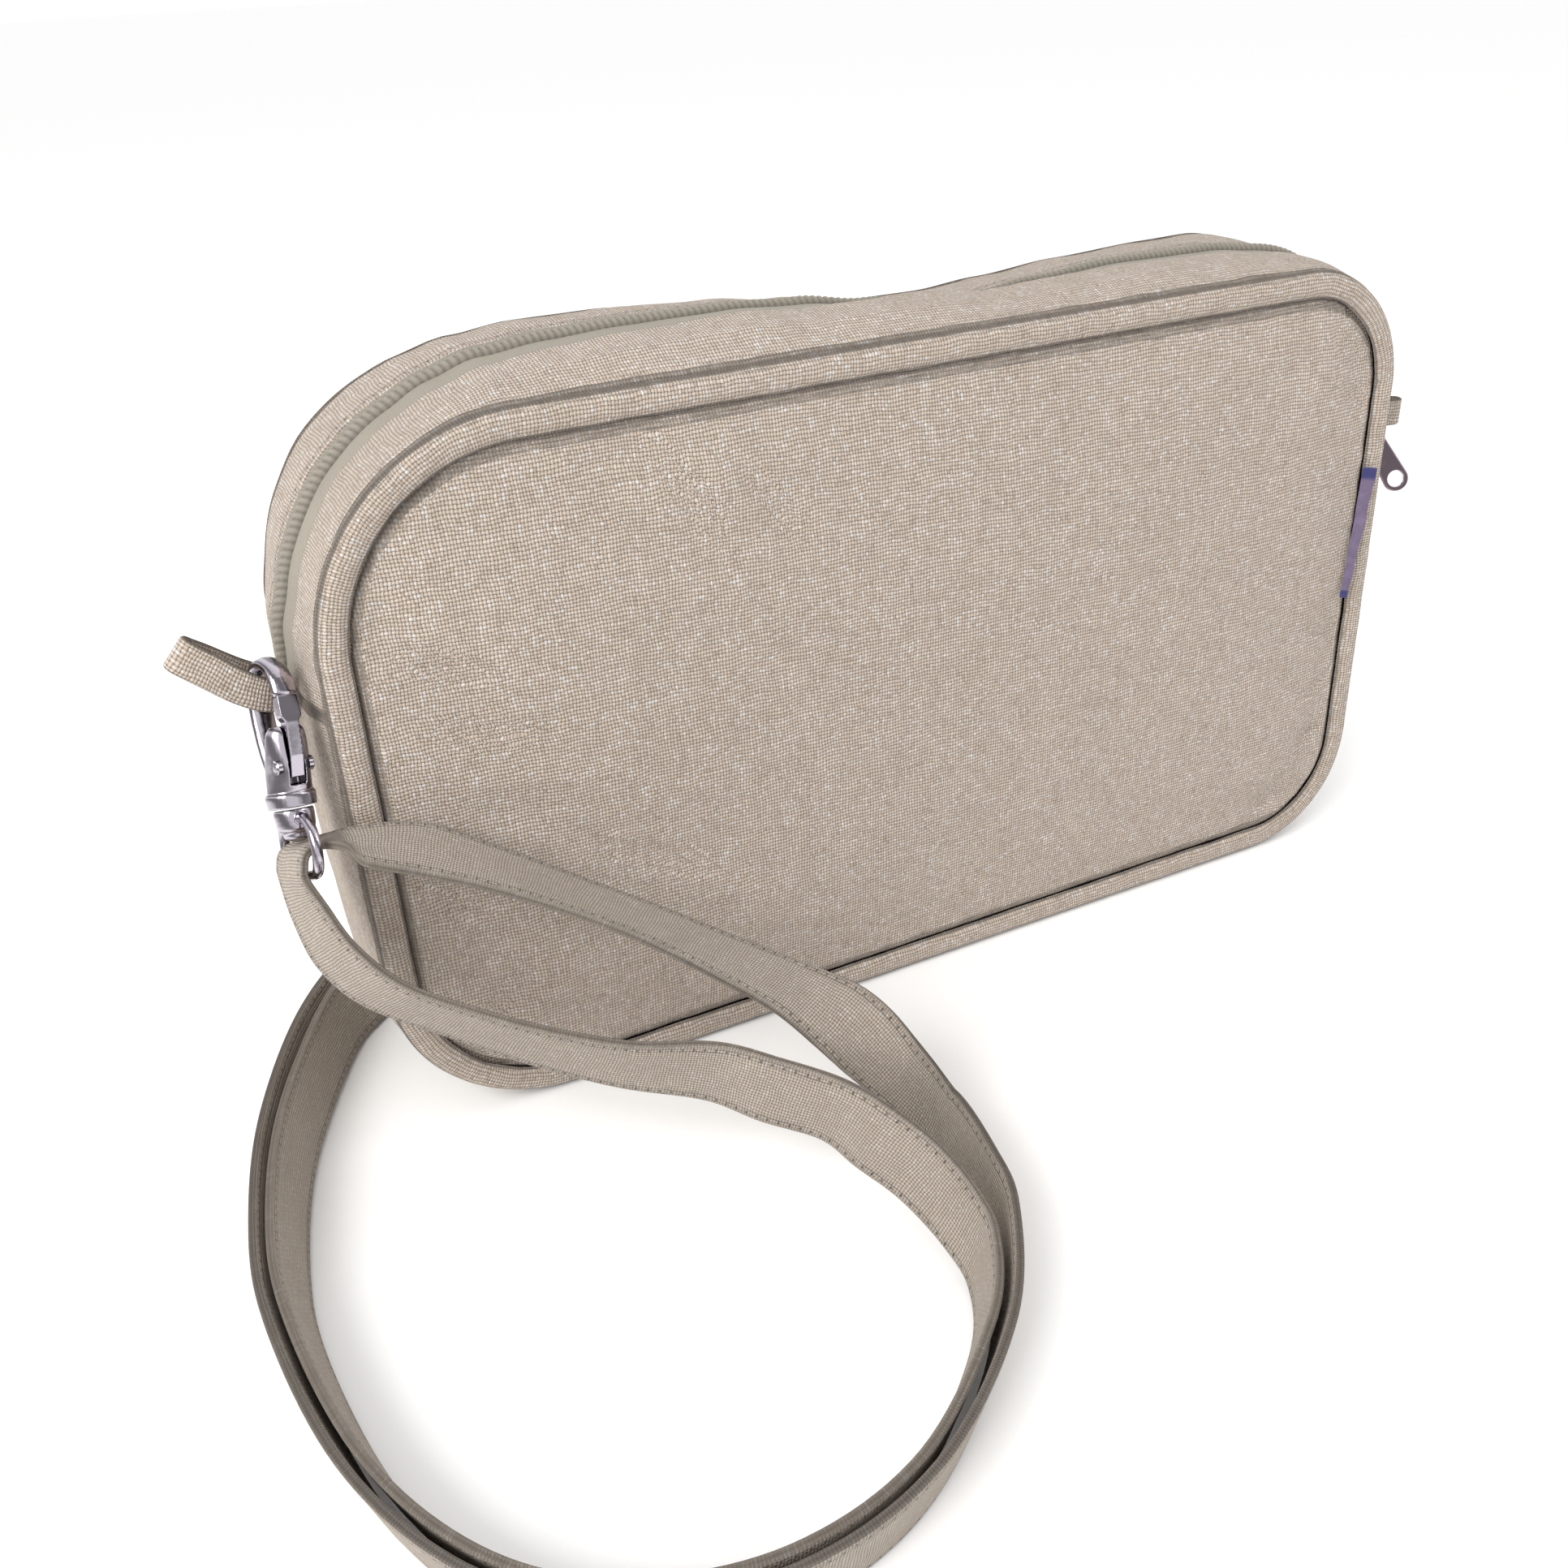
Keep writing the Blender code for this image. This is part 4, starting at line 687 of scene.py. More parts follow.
def bake_modifiers(made):
    """The object's mesh with all its modifiers applied."""
    bpy.context.view_layer.update()
    done = made.evaluated_get(bpy.context.evaluated_depsgraph_get())
    mesh = bpy.data.meshes.new_from_object(done)
    made.modifiers.clear()
    made.data = mesh
    return made


def joined(body, tools, operation="UNION"):
    """A body after one Boolean with each tool."""
    for tool in tools:
        cut = body.modifiers.new("cut", "BOOLEAN")
        cut.operation = operation
        cut.solver = "EXACT"
        cut.object = tool
        bake_modifiers(body)
        bpy.data.objects.remove(tool, do_unlink=True)
    return body


def cast(body, voxel, rounds):
    """Cast metal: an even skin over the joined shape, with its inner corners filled."""
    skin = body.modifiers.new("skin", "REMESH")
    skin.mode = "VOXEL"
    skin.voxel_size = voxel
    soften = body.modifiers.new("soften", "SMOOTH")
    soften.factor = 0.5
    soften.iterations = rounds
    return bake_modifiers(body)


def between(table, place):
    """Values of a table at a place, eased from row to row."""
    for low, high in zip(table, table[1:]):
        if place <= high[0]:
            share = max(0.0, (place - low[0]) / (high[0] - low[0]))
            eased = share * share * (3.0 - 2.0 * share)
            return [a + (b - a) * eased for a, b in zip(low[1:], high[1:])]
    return list(table[-1][1:])


def smooth_route(points, steps):
    """Points of a smooth curve through all the given points, with steps on each span."""
    route = []
    for i in range(len(points) - 1):
        before = points[max(i - 1, 0)]
        start, end = points[i], points[i + 1]
        after = points[min(i + 2, len(points) - 1)]
        for step in range(steps):
            t = step / steps
            route.append(0.5 * (
                2 * start
                + (end - before) * t
                + (2 * before - 5 * start + 4 * end - after) * t ** 2
                + (3 * start - before - 3 * end + after) * t ** 3
            ))
    route.append(points[-1])
    return route


def lengths(points):
    """Length along a route at each of its points."""
    way = [0.0]
    for a, b in zip(points, points[1:]):
        way.append(way[-1] + (b - a).length)
    return way


def ahead_and_behind(points, i):
    """Neighbours of a point of an open route."""
    return points[min(i + 1, len(points) - 1)], points[max(i - 1, 0)]


def circle(steps):
    """Cosine and sine at even steps round a circle."""
    turns = [math.tau * k / steps for k in range(steps)]
    return [(math.cos(turn), math.sin(turn)) for turn in turns]


def wobble(x, y, seed, size):
    """Smooth noise from -1 to 1 whose bumps have the given size."""
    return noise.noise(Vector((x / size, y / size, seed)))


# Outline of the faces. A sample is a point (x, z) with the outward normal there


def straight(start, end, steps):
    along = (Vector(end) - Vector(start)).normalized()
    normal = Vector((-along.y, along.x))
    return [(Vector(start).lerp(Vector(end), i / steps), normal) for i in range(steps)]


def corner(centre, radius, start_degrees, steps):
    samples = []
    for i in range(steps):
        angle = math.radians(start_degrees - 90.0 * i / steps)
        normal = Vector((math.cos(angle), math.sin(angle)))
        samples.append((Vector(centre) + radius * normal, normal))
    return samples


def zip_path(bend=24, side=5, top=90):
    """The outline from the left seam over the top to the right seam."""
    left, right, high = -BAG_WIDTH / 2, BAG_WIDTH / 2, BAG_HEIGHT
    low = high - TOP_LEFT_RADIUS
    far = high - TOP_RIGHT_RADIUS
    path = straight((left, low - LEFT_SEAM_DROP), (left, low), side)
    path += corner((left + TOP_LEFT_RADIUS, low), TOP_LEFT_RADIUS, 180.0, bend)
    path += straight((left + TOP_LEFT_RADIUS, high), (right - TOP_RIGHT_RADIUS, high), top)
    path += corner((right - TOP_RIGHT_RADIUS, far), TOP_RIGHT_RADIUS, 90.0, bend)
    path += straight((right, far), (right, far - RIGHT_SEAM_DROP), side)
    path.append((Vector((right, far - RIGHT_SEAM_DROP)), Vector((1.0, 0.0))))
    return path


def base_path(bend=24, side=30, top=90):
    """The outline from the right seam down, along the base and up to the left seam."""
    left, right = -BAG_WIDTH / 2, BAG_WIDTH / 2
    left_seam = BAG_HEIGHT - TOP_LEFT_RADIUS - LEFT_SEAM_DROP
    right_seam = right_seam_height()
    low_right, low_left = BOTTOM_RIGHT_RADIUS, BOTTOM_LEFT_RADIUS
    path = straight((right, right_seam), (right, low_right), side)
    path += corner((right - low_right, low_right), low_right, 0.0, bend)
    path += straight((right - low_right, 0.0), (left + low_left, 0.0), top)
    path += corner((left + low_left, low_left), low_left, 270.0, bend)
    path += straight((left, low_left), (left, left_seam), side)
    path.append((Vector((left, left_seam)), Vector((-1.0, 0.0))))
    return path


def right_seam_height():
    return BAG_HEIGHT - TOP_RIGHT_RADIUS - RIGHT_SEAM_DROP


def resampled(path, spacing):
    """A path with samples at an even spacing."""
    way = lengths([point for point, _ in path])
    count = max(2, round(way[-1] / spacing))
    made, k = [], 0
    for i in range(count + 1):
        goal = way[-1] * i / count
        while k < len(way) - 2 and way[k + 1] < goal:
            k += 1
        share = (goal - way[k]) / max(way[k + 1] - way[k], 1e-9)
        (p, n), (q, m) = path[k], path[k + 1]
        made.append((p.lerp(q, share), n.lerp(m, share).normalized()))
    return made


def stations_of(path, table):
    """Each sample with its way along the path and its row of swell values."""
    way = lengths([point for point, _ in path])
    return [(sample, w, between(table, w / way[-1])) for sample, w in zip(path, way)]


def swell_at(values, across):
    """Outward swell at a share of the depth, from its front, coil and back values."""
    front, coil, back = (value * SWELL for value in values)
    knots = [
        (0.0, 0.0),
        (0.5 * FRONT_EDGE_SHARE, 0.74 * front),
        (FRONT_EDGE_SHARE, front),
        (COIL_SHARE, coil),
        (0.5 + 0.5 * COIL_SHARE, 0.6 * coil + 0.55 * back),
        (1.0, back),
    ]
    for (a, low), (b, high) in zip(knots, knots[1:]):
        if across <= b:
            return low + (high - low) * (across - a) / (b - a)
    return back


def gusset_point(sample, values, across, sink=0.0):
    """A point of the gusset at a share of the depth, sunk below its outer face."""
    point, normal = sample
    out = point + normal * (swell_at(values, across) - sink)
    return Vector((out.x, FRONT + across * BAG_DEPTH, out.y))


def beside_coil(height):
    """A place over the coil's middle at a height of the right end, clear of the coil."""
    sample = (Vector((BAG_WIDTH / 2, height)), Vector((1.0, 0.0)))
    sink = CLOTH - TAPE_THICKNESS - SEAM_GAP - COIL_RISE
    return gusset_point(sample, ZIP_SWELL[-1][1:], COIL_SHARE, sink)


def band_profile(low, high, wall, count, tuck_low, tuck_high):
    """Closed profile of a cloth band: across shares, sink, mark across, and the painted shade
    beside a tucked seam.
    """
    half = wall / 2 / BAG_DEPTH
    start, end = low + half, high - half
    outer = []
    for i in range(count + 1):
        across = start + (end - start) * i / count
        near_low = max(0.0, 1 - (across - start) * BAG_DEPTH / SEAM_FADE)
        near_high = max(0.0, 1 - (end - across) * BAG_DEPTH / SEAM_FADE)
        sink = tuck_low * near_low ** 2 + tuck_high * near_high ** 2
        # Painted shade beside each tucked edge
        seam = 0.26 * max(near_low * (tuck_low > 0), near_high * (tuck_high > 0)) ** 3
        outer.append((across, sink, across * BAG_DEPTH, seam))
    profile = list(outer)

    def round_edge(middle, side, start_sink, seam):
        for turn in (45, 90, 135):
            angle = math.radians(turn)
            across = middle + side * half * math.sin(angle)
            sink = start_sink + wall / 2 * (1 - side * math.cos(angle))
            profile.append((across, sink, across * BAG_DEPTH, seam))

    round_edge(end, 1, outer[-1][1], outer[-1][3])
    profile += [(across, sink + wall, place, seam) for across, sink, place, seam in outer[::-2]]
    round_edge(start, -1, outer[0][1], outer[0][3])
    return profile


def make_band(name, path, table, profile, material, soft, seed, base_sink=0.0):
    """A gusset band with a soft unevenness, and both ends tucked into their seams."""
    rows = []
    stations = stations_of(path, table)
    total = stations[-1][1]
    for sample, way, values in stations:
        near_end = max(0.0, 1 - min(way, total - way) / END_FADE)
        row = []
        for across, sink, place, seam in profile:
            lift = soft * wobble(way, place, seed, 14 * MM)
            lift += 0.4 * soft * wobble(way, place, seed + 5, 5 * MM)
            calm = max(0.0, 1 - seam) * (1 - near_end)
            depth = base_sink + sink + BAND_TUCK * near_end ** 2 - lift * calm
            point = gusset_point(sample, values, across, depth)
            point.z = max(point.z, 0.0)
            # Painted shade darkens the band towards both tucked ends
            row.append((point, (way, place, max(seam, 0.6 * near_end ** 2))))
        rows.append(row)
    return cloth_piece(name, rows, material)


def lifted(path, table):
    """A path at the back of the gusset, with its swell."""
    return [
        (point + normal * values[2] * SWELL, normal)
        for (point, normal), _, values in stations_of(path, table)
    ]


def face_ring(side):
    """The whole outline at the front (-1) or the back (+1), as samples."""
    if side < 0:
        return zip_path()[:-1] + base_path()
    return lifted(zip_path(), ZIP_SWELL)[:-1] + lifted(base_path(), BASE_SWELL)


def face_path(side, bend, top):
    """The outline with chosen steps, as a closed list of samples."""
    upper, lower = zip_path(bend, 2, top), base_path(bend, 6, top)
    if side > 0:
        upper, lower = lifted(upper, ZIP_SWELL), lifted(lower, BASE_SWELL)
    return upper[:-1] + lower[:-1]


def creases(table, x, z):
    """Depth of the narrow creases at a place of a face."""
    total = 0.0
    for across, up, long, thin, degrees, depth in table:
        dx = x - (across - 0.5) * BAG_WIDTH
        dz = z - up * BAG_HEIGHT
        turn = math.radians(degrees)
        a = (dx * math.cos(turn) + dz * math.sin(turn)) / (long * MM)
        b = (dz * math.cos(turn) - dx * math.sin(turn)) / (thin * MM)
        reach = a * a + b * b
        if reach < 9.0:
            total += depth * MM * math.exp(-reach)
    return total


def dents_at(table, x, z):
    """Depth of the broad dents at a place of a face."""
    total = 0.0
    for across, up, wide, tall, deep in table:
        away = ((x / BAG_WIDTH + 0.5 - across) / wide) ** 2
        away += ((z / BAG_HEIGHT - up) / tall) ** 2
        total += deep * DENT_DEPTH * math.exp(-away)
    return total


def border_distance(place, ring):
    """Distance from a place inside the closed border to it, or None outside."""
    best, inside = BAG_WIDTH, False
    for a, b in zip(ring, ring[1:] + ring[:1]):
        along = b - a
        share = max(0.0, min(1.0, (place - a).dot(along) / along.length_squared))
        best = min(best, (place - a - along * share).length)
        if (a.y > place.y) != (b.y > place.y):
            cross = a.x + (place.y - a.y) / (b.y - a.y) * along.x
            inside ^= place.x < cross
    return best if inside else None


def face_grid(side, columns_bend, columns_top, rows):
    """Grid of places on a face between its lower and upper border."""
    inset = WELT_WIDTH - PANEL_UNDERLAP
    ring = [point - normal * inset for point, normal in face_path(side, columns_bend, columns_top)]
    turn = 2 * columns_bend + columns_top
    top = ring[2:2 + turn + 1]
    start = 2 + turn + 2 + 6
    bottom = ring[start:start + turn + 1][::-1]
    return [[low.lerp(high, i / rows) for i in range(rows + 1)] for low, high in zip(bottom, top)]


def panel_relief(side, place, border, dents, narrow, depth_share):
    """Rise of a face at a place, and the painted shade of its cloth there."""
    inward = border_distance(place, border)
    reach = inward or 0.0
    fullness = 1.0 - (1.0 - min(1.0, reach / CROWN_REACH)) ** 2
    out = PANEL_CROWN * fullness
    out -= dents_at(dents, place.x, place.y) * min(1.0, reach / WELT_WIDTH)
    fold = depth_share * creases(narrow, place.x, place.y) * min(1.0, reach / (3 * MM))
    pucker = wobble(place.x, place.y, 3.1 * side, 6.5 * MM)
    pucker += 0.5 * wobble(place.x, place.y, 7.7 * side, 3.4 * MM)
    out += PUCKER_DEPTH * pucker * math.exp(-reach / PUCKER_REACH) * min(1.0, reach / MM) - fold
    out += FACE_WAVE * wobble(place.x, place.y, 1.3 * side, 17 * MM)
    # Painted shade: strong where the face runs on under the welt, and beside the border and in the
    # creases inside it
    if inward is None:
        return out - HIDDEN_DROP, 0.40
    near = max(0.0, 1 - reach / END_FADE) ** 2
    return out - BORDER_DROP * near, max(0.22 * near, 0.05 * fold / MM)


def make_panel(name, side, dents, narrow, depth_share, material):
    """A crowned face with its dents, creases and puckers along the border strip."""
    inset = WELT_WIDTH + BORDER_SHIFT
    border = [point - normal * inset for point, normal in face_path(side, 7, 14)]
    seam = side * (BAG_DEPTH / 2 + PANEL_STEP)
    wall = Vector((0.0, side * CLOTH, 0.0))
    rows = []
    for column in face_grid(side, 20, 100, 84):
        outer, inner = [], []
        for place in column:
            out, shade = panel_relief(side, place, border, dents, narrow, depth_share)
            spot = Vector((place.x, seam + side * out, place.y))
            outer.append((spot, (place.x, place.y, shade)))
            # Painted shade: the inner side of the cloth is fully darkened
            inner.append((spot - wall, (place.x, place.y, 1.0)))
        rows.append(outer + inner[::-1])
    return cloth_piece(name, rows, material)


def make_welt(name, side, material):
    """The raised border strip round one face, a little uneven along its length."""
    seam = side * BAG_DEPTH / 2
    ring = resampled(face_ring(side), WELT_STEP)
    way = lengths([point for point, _ in ring])
    steps, rise_end, fall_start = 13, 0.26, 0.60
    rows = []
    for (point, normal), along in zip(ring, way):
        # The unevenness dies out where both ends of the strip meet
        calm = math.sin(math.pi * along / way[-1]) ** 0.2 if 0 < along < way[-1] else 0.0
        uneven = 0.16 * MM * wobble(along, 0.0, 2.0 * side, 9 * MM) * calm
        uneven += 0.10 * MM * wobble(along, 0.0, 8.0 * side, 3.5 * MM) * calm
        narrow = 0.35 * MM * wobble(along, 0.0, 5.0 * side, 12 * MM) * calm
        row = []

        def add(inward, height, shade):
            place = point - normal * inward
            spot = Vector((place.x, seam + side * height, place.y))
            row.append((spot, (along, inward, shade)))

        for i in range(steps + 1):
            t = i / steps
            rise = min(1.0, (t / rise_end) ** 0.55) if t < rise_end else 1.0
            if t > fall_start:
                rise = 0.32 + 0.68 * math.cos((t - fall_start) / (1 - fall_start) * math.pi / 2)
            # Painted shade: a thin dark line along the outer seam and a softer one along the inner
            # edge
            shade = max(max(0.0, 1 - t / 0.10) ** 2, 0.5 * max(0.0, (t - 0.90) / 0.10) ** 2)
            add(t * (WELT_WIDTH + narrow * t), (WELT_RISE + uneven) * rise, 0.38 * shade)
        # Painted shade on the hidden underside of the strip
        for t in (0.85, 0.15):
            add(t * WELT_WIDTH, -0.3 * MM, 0.3)
        rows.append(row)
    return cloth_piece(name, rows, material, caps=False)


def ribbon_rows(route, edges, width, wall, soft, seed, plies):
    """Rows of a folded strip: round long edges, a groove between its plies with painted shade in
    it, and soft faces.
    """
    way = lengths(route)
    closed = (route[0] - route[-1]).length < 1e-6
    radius = wall / 2
    inner = width / 2 - radius
    rows = []
    for i, (point, edge) in enumerate(zip(route, edges)):
        ahead, behind = ahead_and_behind(route, i)
        if closed and i in (0, len(route) - 1):
            ahead, behind = route[1], route[-2]
        edge = edge.normalized()
        facing = (ahead - behind).cross(edge).normalized()
        row = []
        for side in (1, -1):
            for k in range(11):
                share = 1 - 2 * k / 10
                across = side * inner * share * -1
                bump = wobble(way[i], across + side * 0.1, seed, 9 * MM)
                lift = soft * bump * (1 - share ** 4)
                spot = point + edge * across + facing * side * (radius + lift)
                row.append((spot, (way[i], across, 0.0)))
            for turn in (-60, -30, 0, 30, 60):
                angle = math.radians(turn)
                middle = math.cos(angle) ** 12
                out = inner + (radius - plies * middle) * math.cos(angle)
                spot = point + edge * side * out - facing * side * radius * math.sin(angle)
                # Painted shade in the groove between the plies
                row.append((spot, (way[i], side * width / 2, 0.85 * middle)))
        rows.append(row)
    return rows


def loop_route(root, along, apart, length, spread_axis, near, steps=18):
    """Route of a folded loop: out on the near side, round its end and back."""
    radius = apart / 2
    sides = {-1: [], 1: []}
    for i in range(steps):
        share = i / steps
        gap = near + (1.0 - near) * min(1.0, 2.2 * share)
        place = root + along * (length - radius) * share
        for side, points in sides.items():
            points.append(place + spread_axis * side * radius * gap)
    bend = []
    for i in range(13):
        angle = math.pi * i / 12
        reach = length - radius + radius * math.sin(angle)
        bend.append(root + along * reach - spread_axis * radius * math.cos(angle))
    return sides[-1] + bend + sides[1][::-1]


# Clip


def oval_rings(stations, steps):
    """Level oval rings. Each station is (height, middle y, half depth, half breadth)."""
    return [
        [Vector((broad * x, middle + deep * y, height)) for x, y in circle(steps)]
        for height, middle, deep, broad in stations
    ]


def tube_rings(route, across, half_across, half_other, steps):
    """Oval rings along a flat route, whose first half width lies along the given axis."""
    rings = []
    for i, point in enumerate(route):
        ahead, behind = ahead_and_behind(route, i)
        other = (ahead - behind).normalized().cross(across).normalized()
        rings.append([
            point + across * half_across * x + other * half_other * y for x, y in circle(steps)
        ])
    return rings


def box_rings(stations):
    """Rings of rectangles: each station is (centre, half vector, half vector)."""
    signs = [(-1, -1), (1, -1), (1, 1), (-1, 1)]
    return [[c + u * a + v * b for u, v in signs] for c, a, b in stations]


def gate_pivot():
    return Vector((0.0, -0.81 * BARREL_RADIUS, -GATE_PIVOT_DROP))


def ring_bar():
    return Vector((0.0, 0.0, -BARREL_TOP - BARREL_LENGTH - SEAM_GAP - RING_DROP))


def clip_matrix():
    """Where the clip hangs: its top in the left loop, leaning to the front."""
    top = Vector((
        -BAG_WIDTH / 2 - CLIP_OUTSET - HOOK_BREADTH / 2 - CLIP_GAP,
        -0.22 * BAG_DEPTH,
        BAG_HEIGHT - TOP_LEFT_RADIUS - LEFT_SEAM_DROP + CLIP_RISE,
    ))
    turn = Matrix.Rotation(CLIP_TURN, 4, "Z")
    lean = Matrix.Rotation(-CLIP_LEAN, 4, "X")
    sway = Matrix.Rotation(CLIP_SWAY, 4, "Y")
    return Matrix.Translation(top) @ sway @ lean @ turn


def hook_shape():
    """Barrel and hook as one solid, with the slot that the gate swings in."""
    stations = [
        (-BARREL_TOP - row[0] * BARREL_LENGTH, *(value * BARREL_RADIUS for value in row[1:]))
        for row in smooth_route([Vector(row) for row in BARREL_ROWS], 4)
    ]
    barrel = guide("barrel_guide", oval_rings(stations, 40))
    reach = (EYE_WIDTH + HOOK_WIRE) / 2
    top = -HOOK_WIRE / 2
    points = [
        Vector((0.0, 0.52 * reach, -1.75 * BARREL_TOP)),
        Vector((0.0, 0.86 * reach, -1.35 * BARREL_TOP)),
        Vector((0.0, reach, top - 1.9 * reach)),
    ]
    for k in range(9):
        angle = math.pi * k / 8
        points.append(
            Vector((0.0, reach * math.cos(angle), top - reach + reach * math.sin(angle))))
    points.append(Vector((0.0, -reach, top - reach - TIP_DROP)))
    arm = guide("arm_guide", tube_rings(
        smooth_route(points, 3), ACROSS_CLIP, HOOK_BREADTH / 2, HOOK_WIRE / 2, 24))
    body = joined(barrel, [arm])

    back_wall = -0.31 * BARREL_RADIUS
    depth = 2.0 * BARREL_RADIUS
    slot = [
        (Vector((0.0, back_wall - depth / 2, height)),
         Vector((SLOT_WIDTH / 2, 0.0, 0.0)), Vector((0.0, depth / 2, 0.0)))
        for height in (-BARREL_TOP - 0.73 * BARREL_LENGTH, -BARREL_TOP + SLOT_OVERRUN)
    ]
    return joined(body, [guide("slot_guide", box_rings(slot))], "DIFFERENCE")


def gate_blocks():
    """Boxes down the gate, from its head to its tail."""
    reach = EYE_WIDTH / 2 + GATE_PLAY
    high = -(HOOK_WIRE + EYE_WIDTH) / 2 - HOOK_WIRE / 2 - TIP_DROP - SEAM_GAP
    shoulder = -BARREL_TOP + SHOULDER_RISE
    head, stem = 0.43 * HOOK_BREADTH, GATE_WIDTH / 2
    front_face = reach + 0.92 * HOOK_WIRE
    table = [
        (high, reach, reach + 0.88 * HOOK_WIRE, head),
        (shoulder, reach + GATE_PLAY / 2, front_face, head),
        (shoulder - SHOULDER_HEIGHT, reach + GATE_PLAY, front_face, stem),
        (-GATE_PIVOT_DROP + GATE_BULGE, 0.50 * BARREL_RADIUS, 1.37 * BARREL_RADIUS, stem),
        (-GATE_PIVOT_DROP - GATE_TAIL, 0.54 * BARREL_RADIUS, 1.10 * BARREL_RADIUS, stem),
    ]
    return [
        (Vector((0.0, -(back + front) / 2, height)), Vector((half, 0.0, 0.0)),
         Vector((0.0, (front - back) / 2, 0.0)))
        for height, back, front, half in table
    ]


def ring_shape():
    """Collar and half ring as one solid."""
    start = -BARREL_TOP - BARREL_LENGTH - SEAM_GAP
    stations = [
        (start - row.x * COLLAR_HEIGHT, 0.0, row.y * COLLAR_RADIUS, row.y * COLLAR_RADIUS)
        for row in smooth_route([Vector((a, b, 0.0)) for a, b in COLLAR_ROWS], 4)
    ]
    collar = guide("collar_guide", oval_rings(stations, 40))
    bar = ring_bar()
    half = (RING_INNER + RING_WIRE) / 2
    drop = start - 0.42 * COLLAR_HEIGHT - bar.z
    right = [Vector((0.0, -half * y, bar.z + drop * z)) for y, z in RING_ROWS]
    left = [Vector((0.0, half * y, bar.z + drop * z)) for y, z in RING_ROWS[:-1]]
    route = smooth_route(right + left[::-1], 5)
    wire = guide("wire_guide", tube_rings(route, ACROSS_CLIP, RING_WIRE / 2, RING_WIRE / 2, 20))
    return joined(collar, [wire])


def settle(made, name, matrix, material, body="pouch", sharp_degrees=50.0):
    """A finished helper as a named piece, moved to where it belongs."""
    mesh = made.data.copy()
    bpy.data.objects.remove(made, do_unlink=True)
    mesh.transform(matrix)
    return link_mesh(name, mesh, material, body, sharp_degrees)


# Strap


def direction(heading, rise):
    flat = math.cos(math.radians(rise))
    turn = math.radians(heading)
    return Vector((flat * math.cos(turn), flat * math.sin(turn), math.sin(math.radians(rise))))


def ground_points():
    """The outer run's points on the ground, and each point's distance to the inner run."""
    standing = STRAP_WIDTH / 2 * math.cos(STRAP_LEAN) + STRAP_THICKNESS / 2 * math.sin(STRAP_LEAN)
    across = -BAG_WIDTH / 2 + LOOP_INSET - LOOP_WIDTH / 2
    centre = Vector((across, FRONT - LOOP_FORWARD + LOOP_SHIFT * LOOP_LENGTH, 0.0))
    places = [
        centre + Vector((x * LOOP_WIDTH, y * LOOP_LENGTH, standing)) for x, y, _ in GROUND_RUN
    ]
    return places, [pitch * STRAP_WIDTH for _, _, pitch in GROUND_RUN]


def path_left(points, i):
    """Level direction to the left of travel at one of the points."""
    ahead, behind = ahead_and_behind(points, i)
    along = (ahead - behind).normalized()
    return Vector((-along.y, along.x, 0.0)).normalized()


def turned_edge(left, turn):
    return Vector((0.0, 0.0, -math.cos(turn))) - left * math.sin(turn)


def air_run(rows, bar, landing):
    """Points and edge directions of a run in the air."""
    points, edges = [], []
    for across, forward, down, heading, rise in rows:
        points.append(Vector((
            bar.x + (landing.x - bar.x) * across,
            bar.y + (landing.y - bar.y) * forward,
            bar.z + (landing.z - bar.z) * down,
        )))
        edges.append(direction(heading, rise))
    return points, edges


def strap_stations():
    """Points and edge directions once round the whole strap, starting over the ring's bar."""
    clip = clip_matrix()
    bar = clip @ ring_bar()
    outer, pitches = ground_points()
    inner = [point - path_left(outer, i) * pitches[i] for i, point in enumerate(outer)]
    far = [outer[-1] + Vector((x, y, 0.0)) * STRAP_WIDTH for x, y, _ in FAR_RUN]
    ground = outer + far + inner[LANDING_ROW + 1:][::-1]
    turns = [STRAP_LEAN] * len(outer) + [math.radians(turn) for _, _, turn in FAR_RUN]
    turns += [math.pi - STRAP_LEAN] * (len(inner) - LANDING_ROW - 1)
    standing = [turned_edge(path_left(ground, i), turn) for i, turn in enumerate(turns)]

    swivelled = clip @ Matrix.Rotation(RING_SWIVEL, 4, "Z")
    bar_end = (swivelled.to_3x3() @ Vector((0.0, -1.0, 0.0))).normalized()
    fold = [
        swivelled @ (ring_bar() + Vector((side, -front, up)) * STRAP_THICKNESS)
        for side, front, up in FOLD
    ]
    back, back_edges = air_run(BACK_RUN, bar, outer[0])
    landing = inner[LANDING_ROW].lerp(inner[LANDING_ROW + 1], LANDING_SHIFT)
    front, front_edges = air_run(FRONT_RUN, bar, landing)
    points = fold + back + ground[1:] + front[::-1]
    edges = [bar_end] * len(fold) + back_edges + standing[1:] + front_edges[::-1]
    return points, edges


def strap_route(steps):
    """The strap's closed route, started behind the pouch where its join doesn't show."""
    points, edges = strap_stations()
    start = len(FOLD) + len(BACK_RUN) + len(GROUND_RUN) + 3
    points, edges = points[start:] + points[:start], edges[start:] + edges[:start]
    count = len(points)
    route, marks = [], []
    for i in range(count):
        around = [points[(i + k) % count] for k in (-1, 0, 1, 2)]
        turns = [edges[(i + k) % count] for k in (-1, 0, 1, 2)]
        route += smooth_route(around, steps)[steps:2 * steps]
        marks += smooth_route(turns, steps)[steps:2 * steps]
    for point, mark in zip(route, marks):
        low = (STRAP_WIDTH * abs(mark.normalized().z) + STRAP_THICKNESS * math.sin(STRAP_LEAN)) / 2
        point.z = max(point.z, low)
    return route + [route[0].copy()], marks + [marks[0].copy()]


# Operators


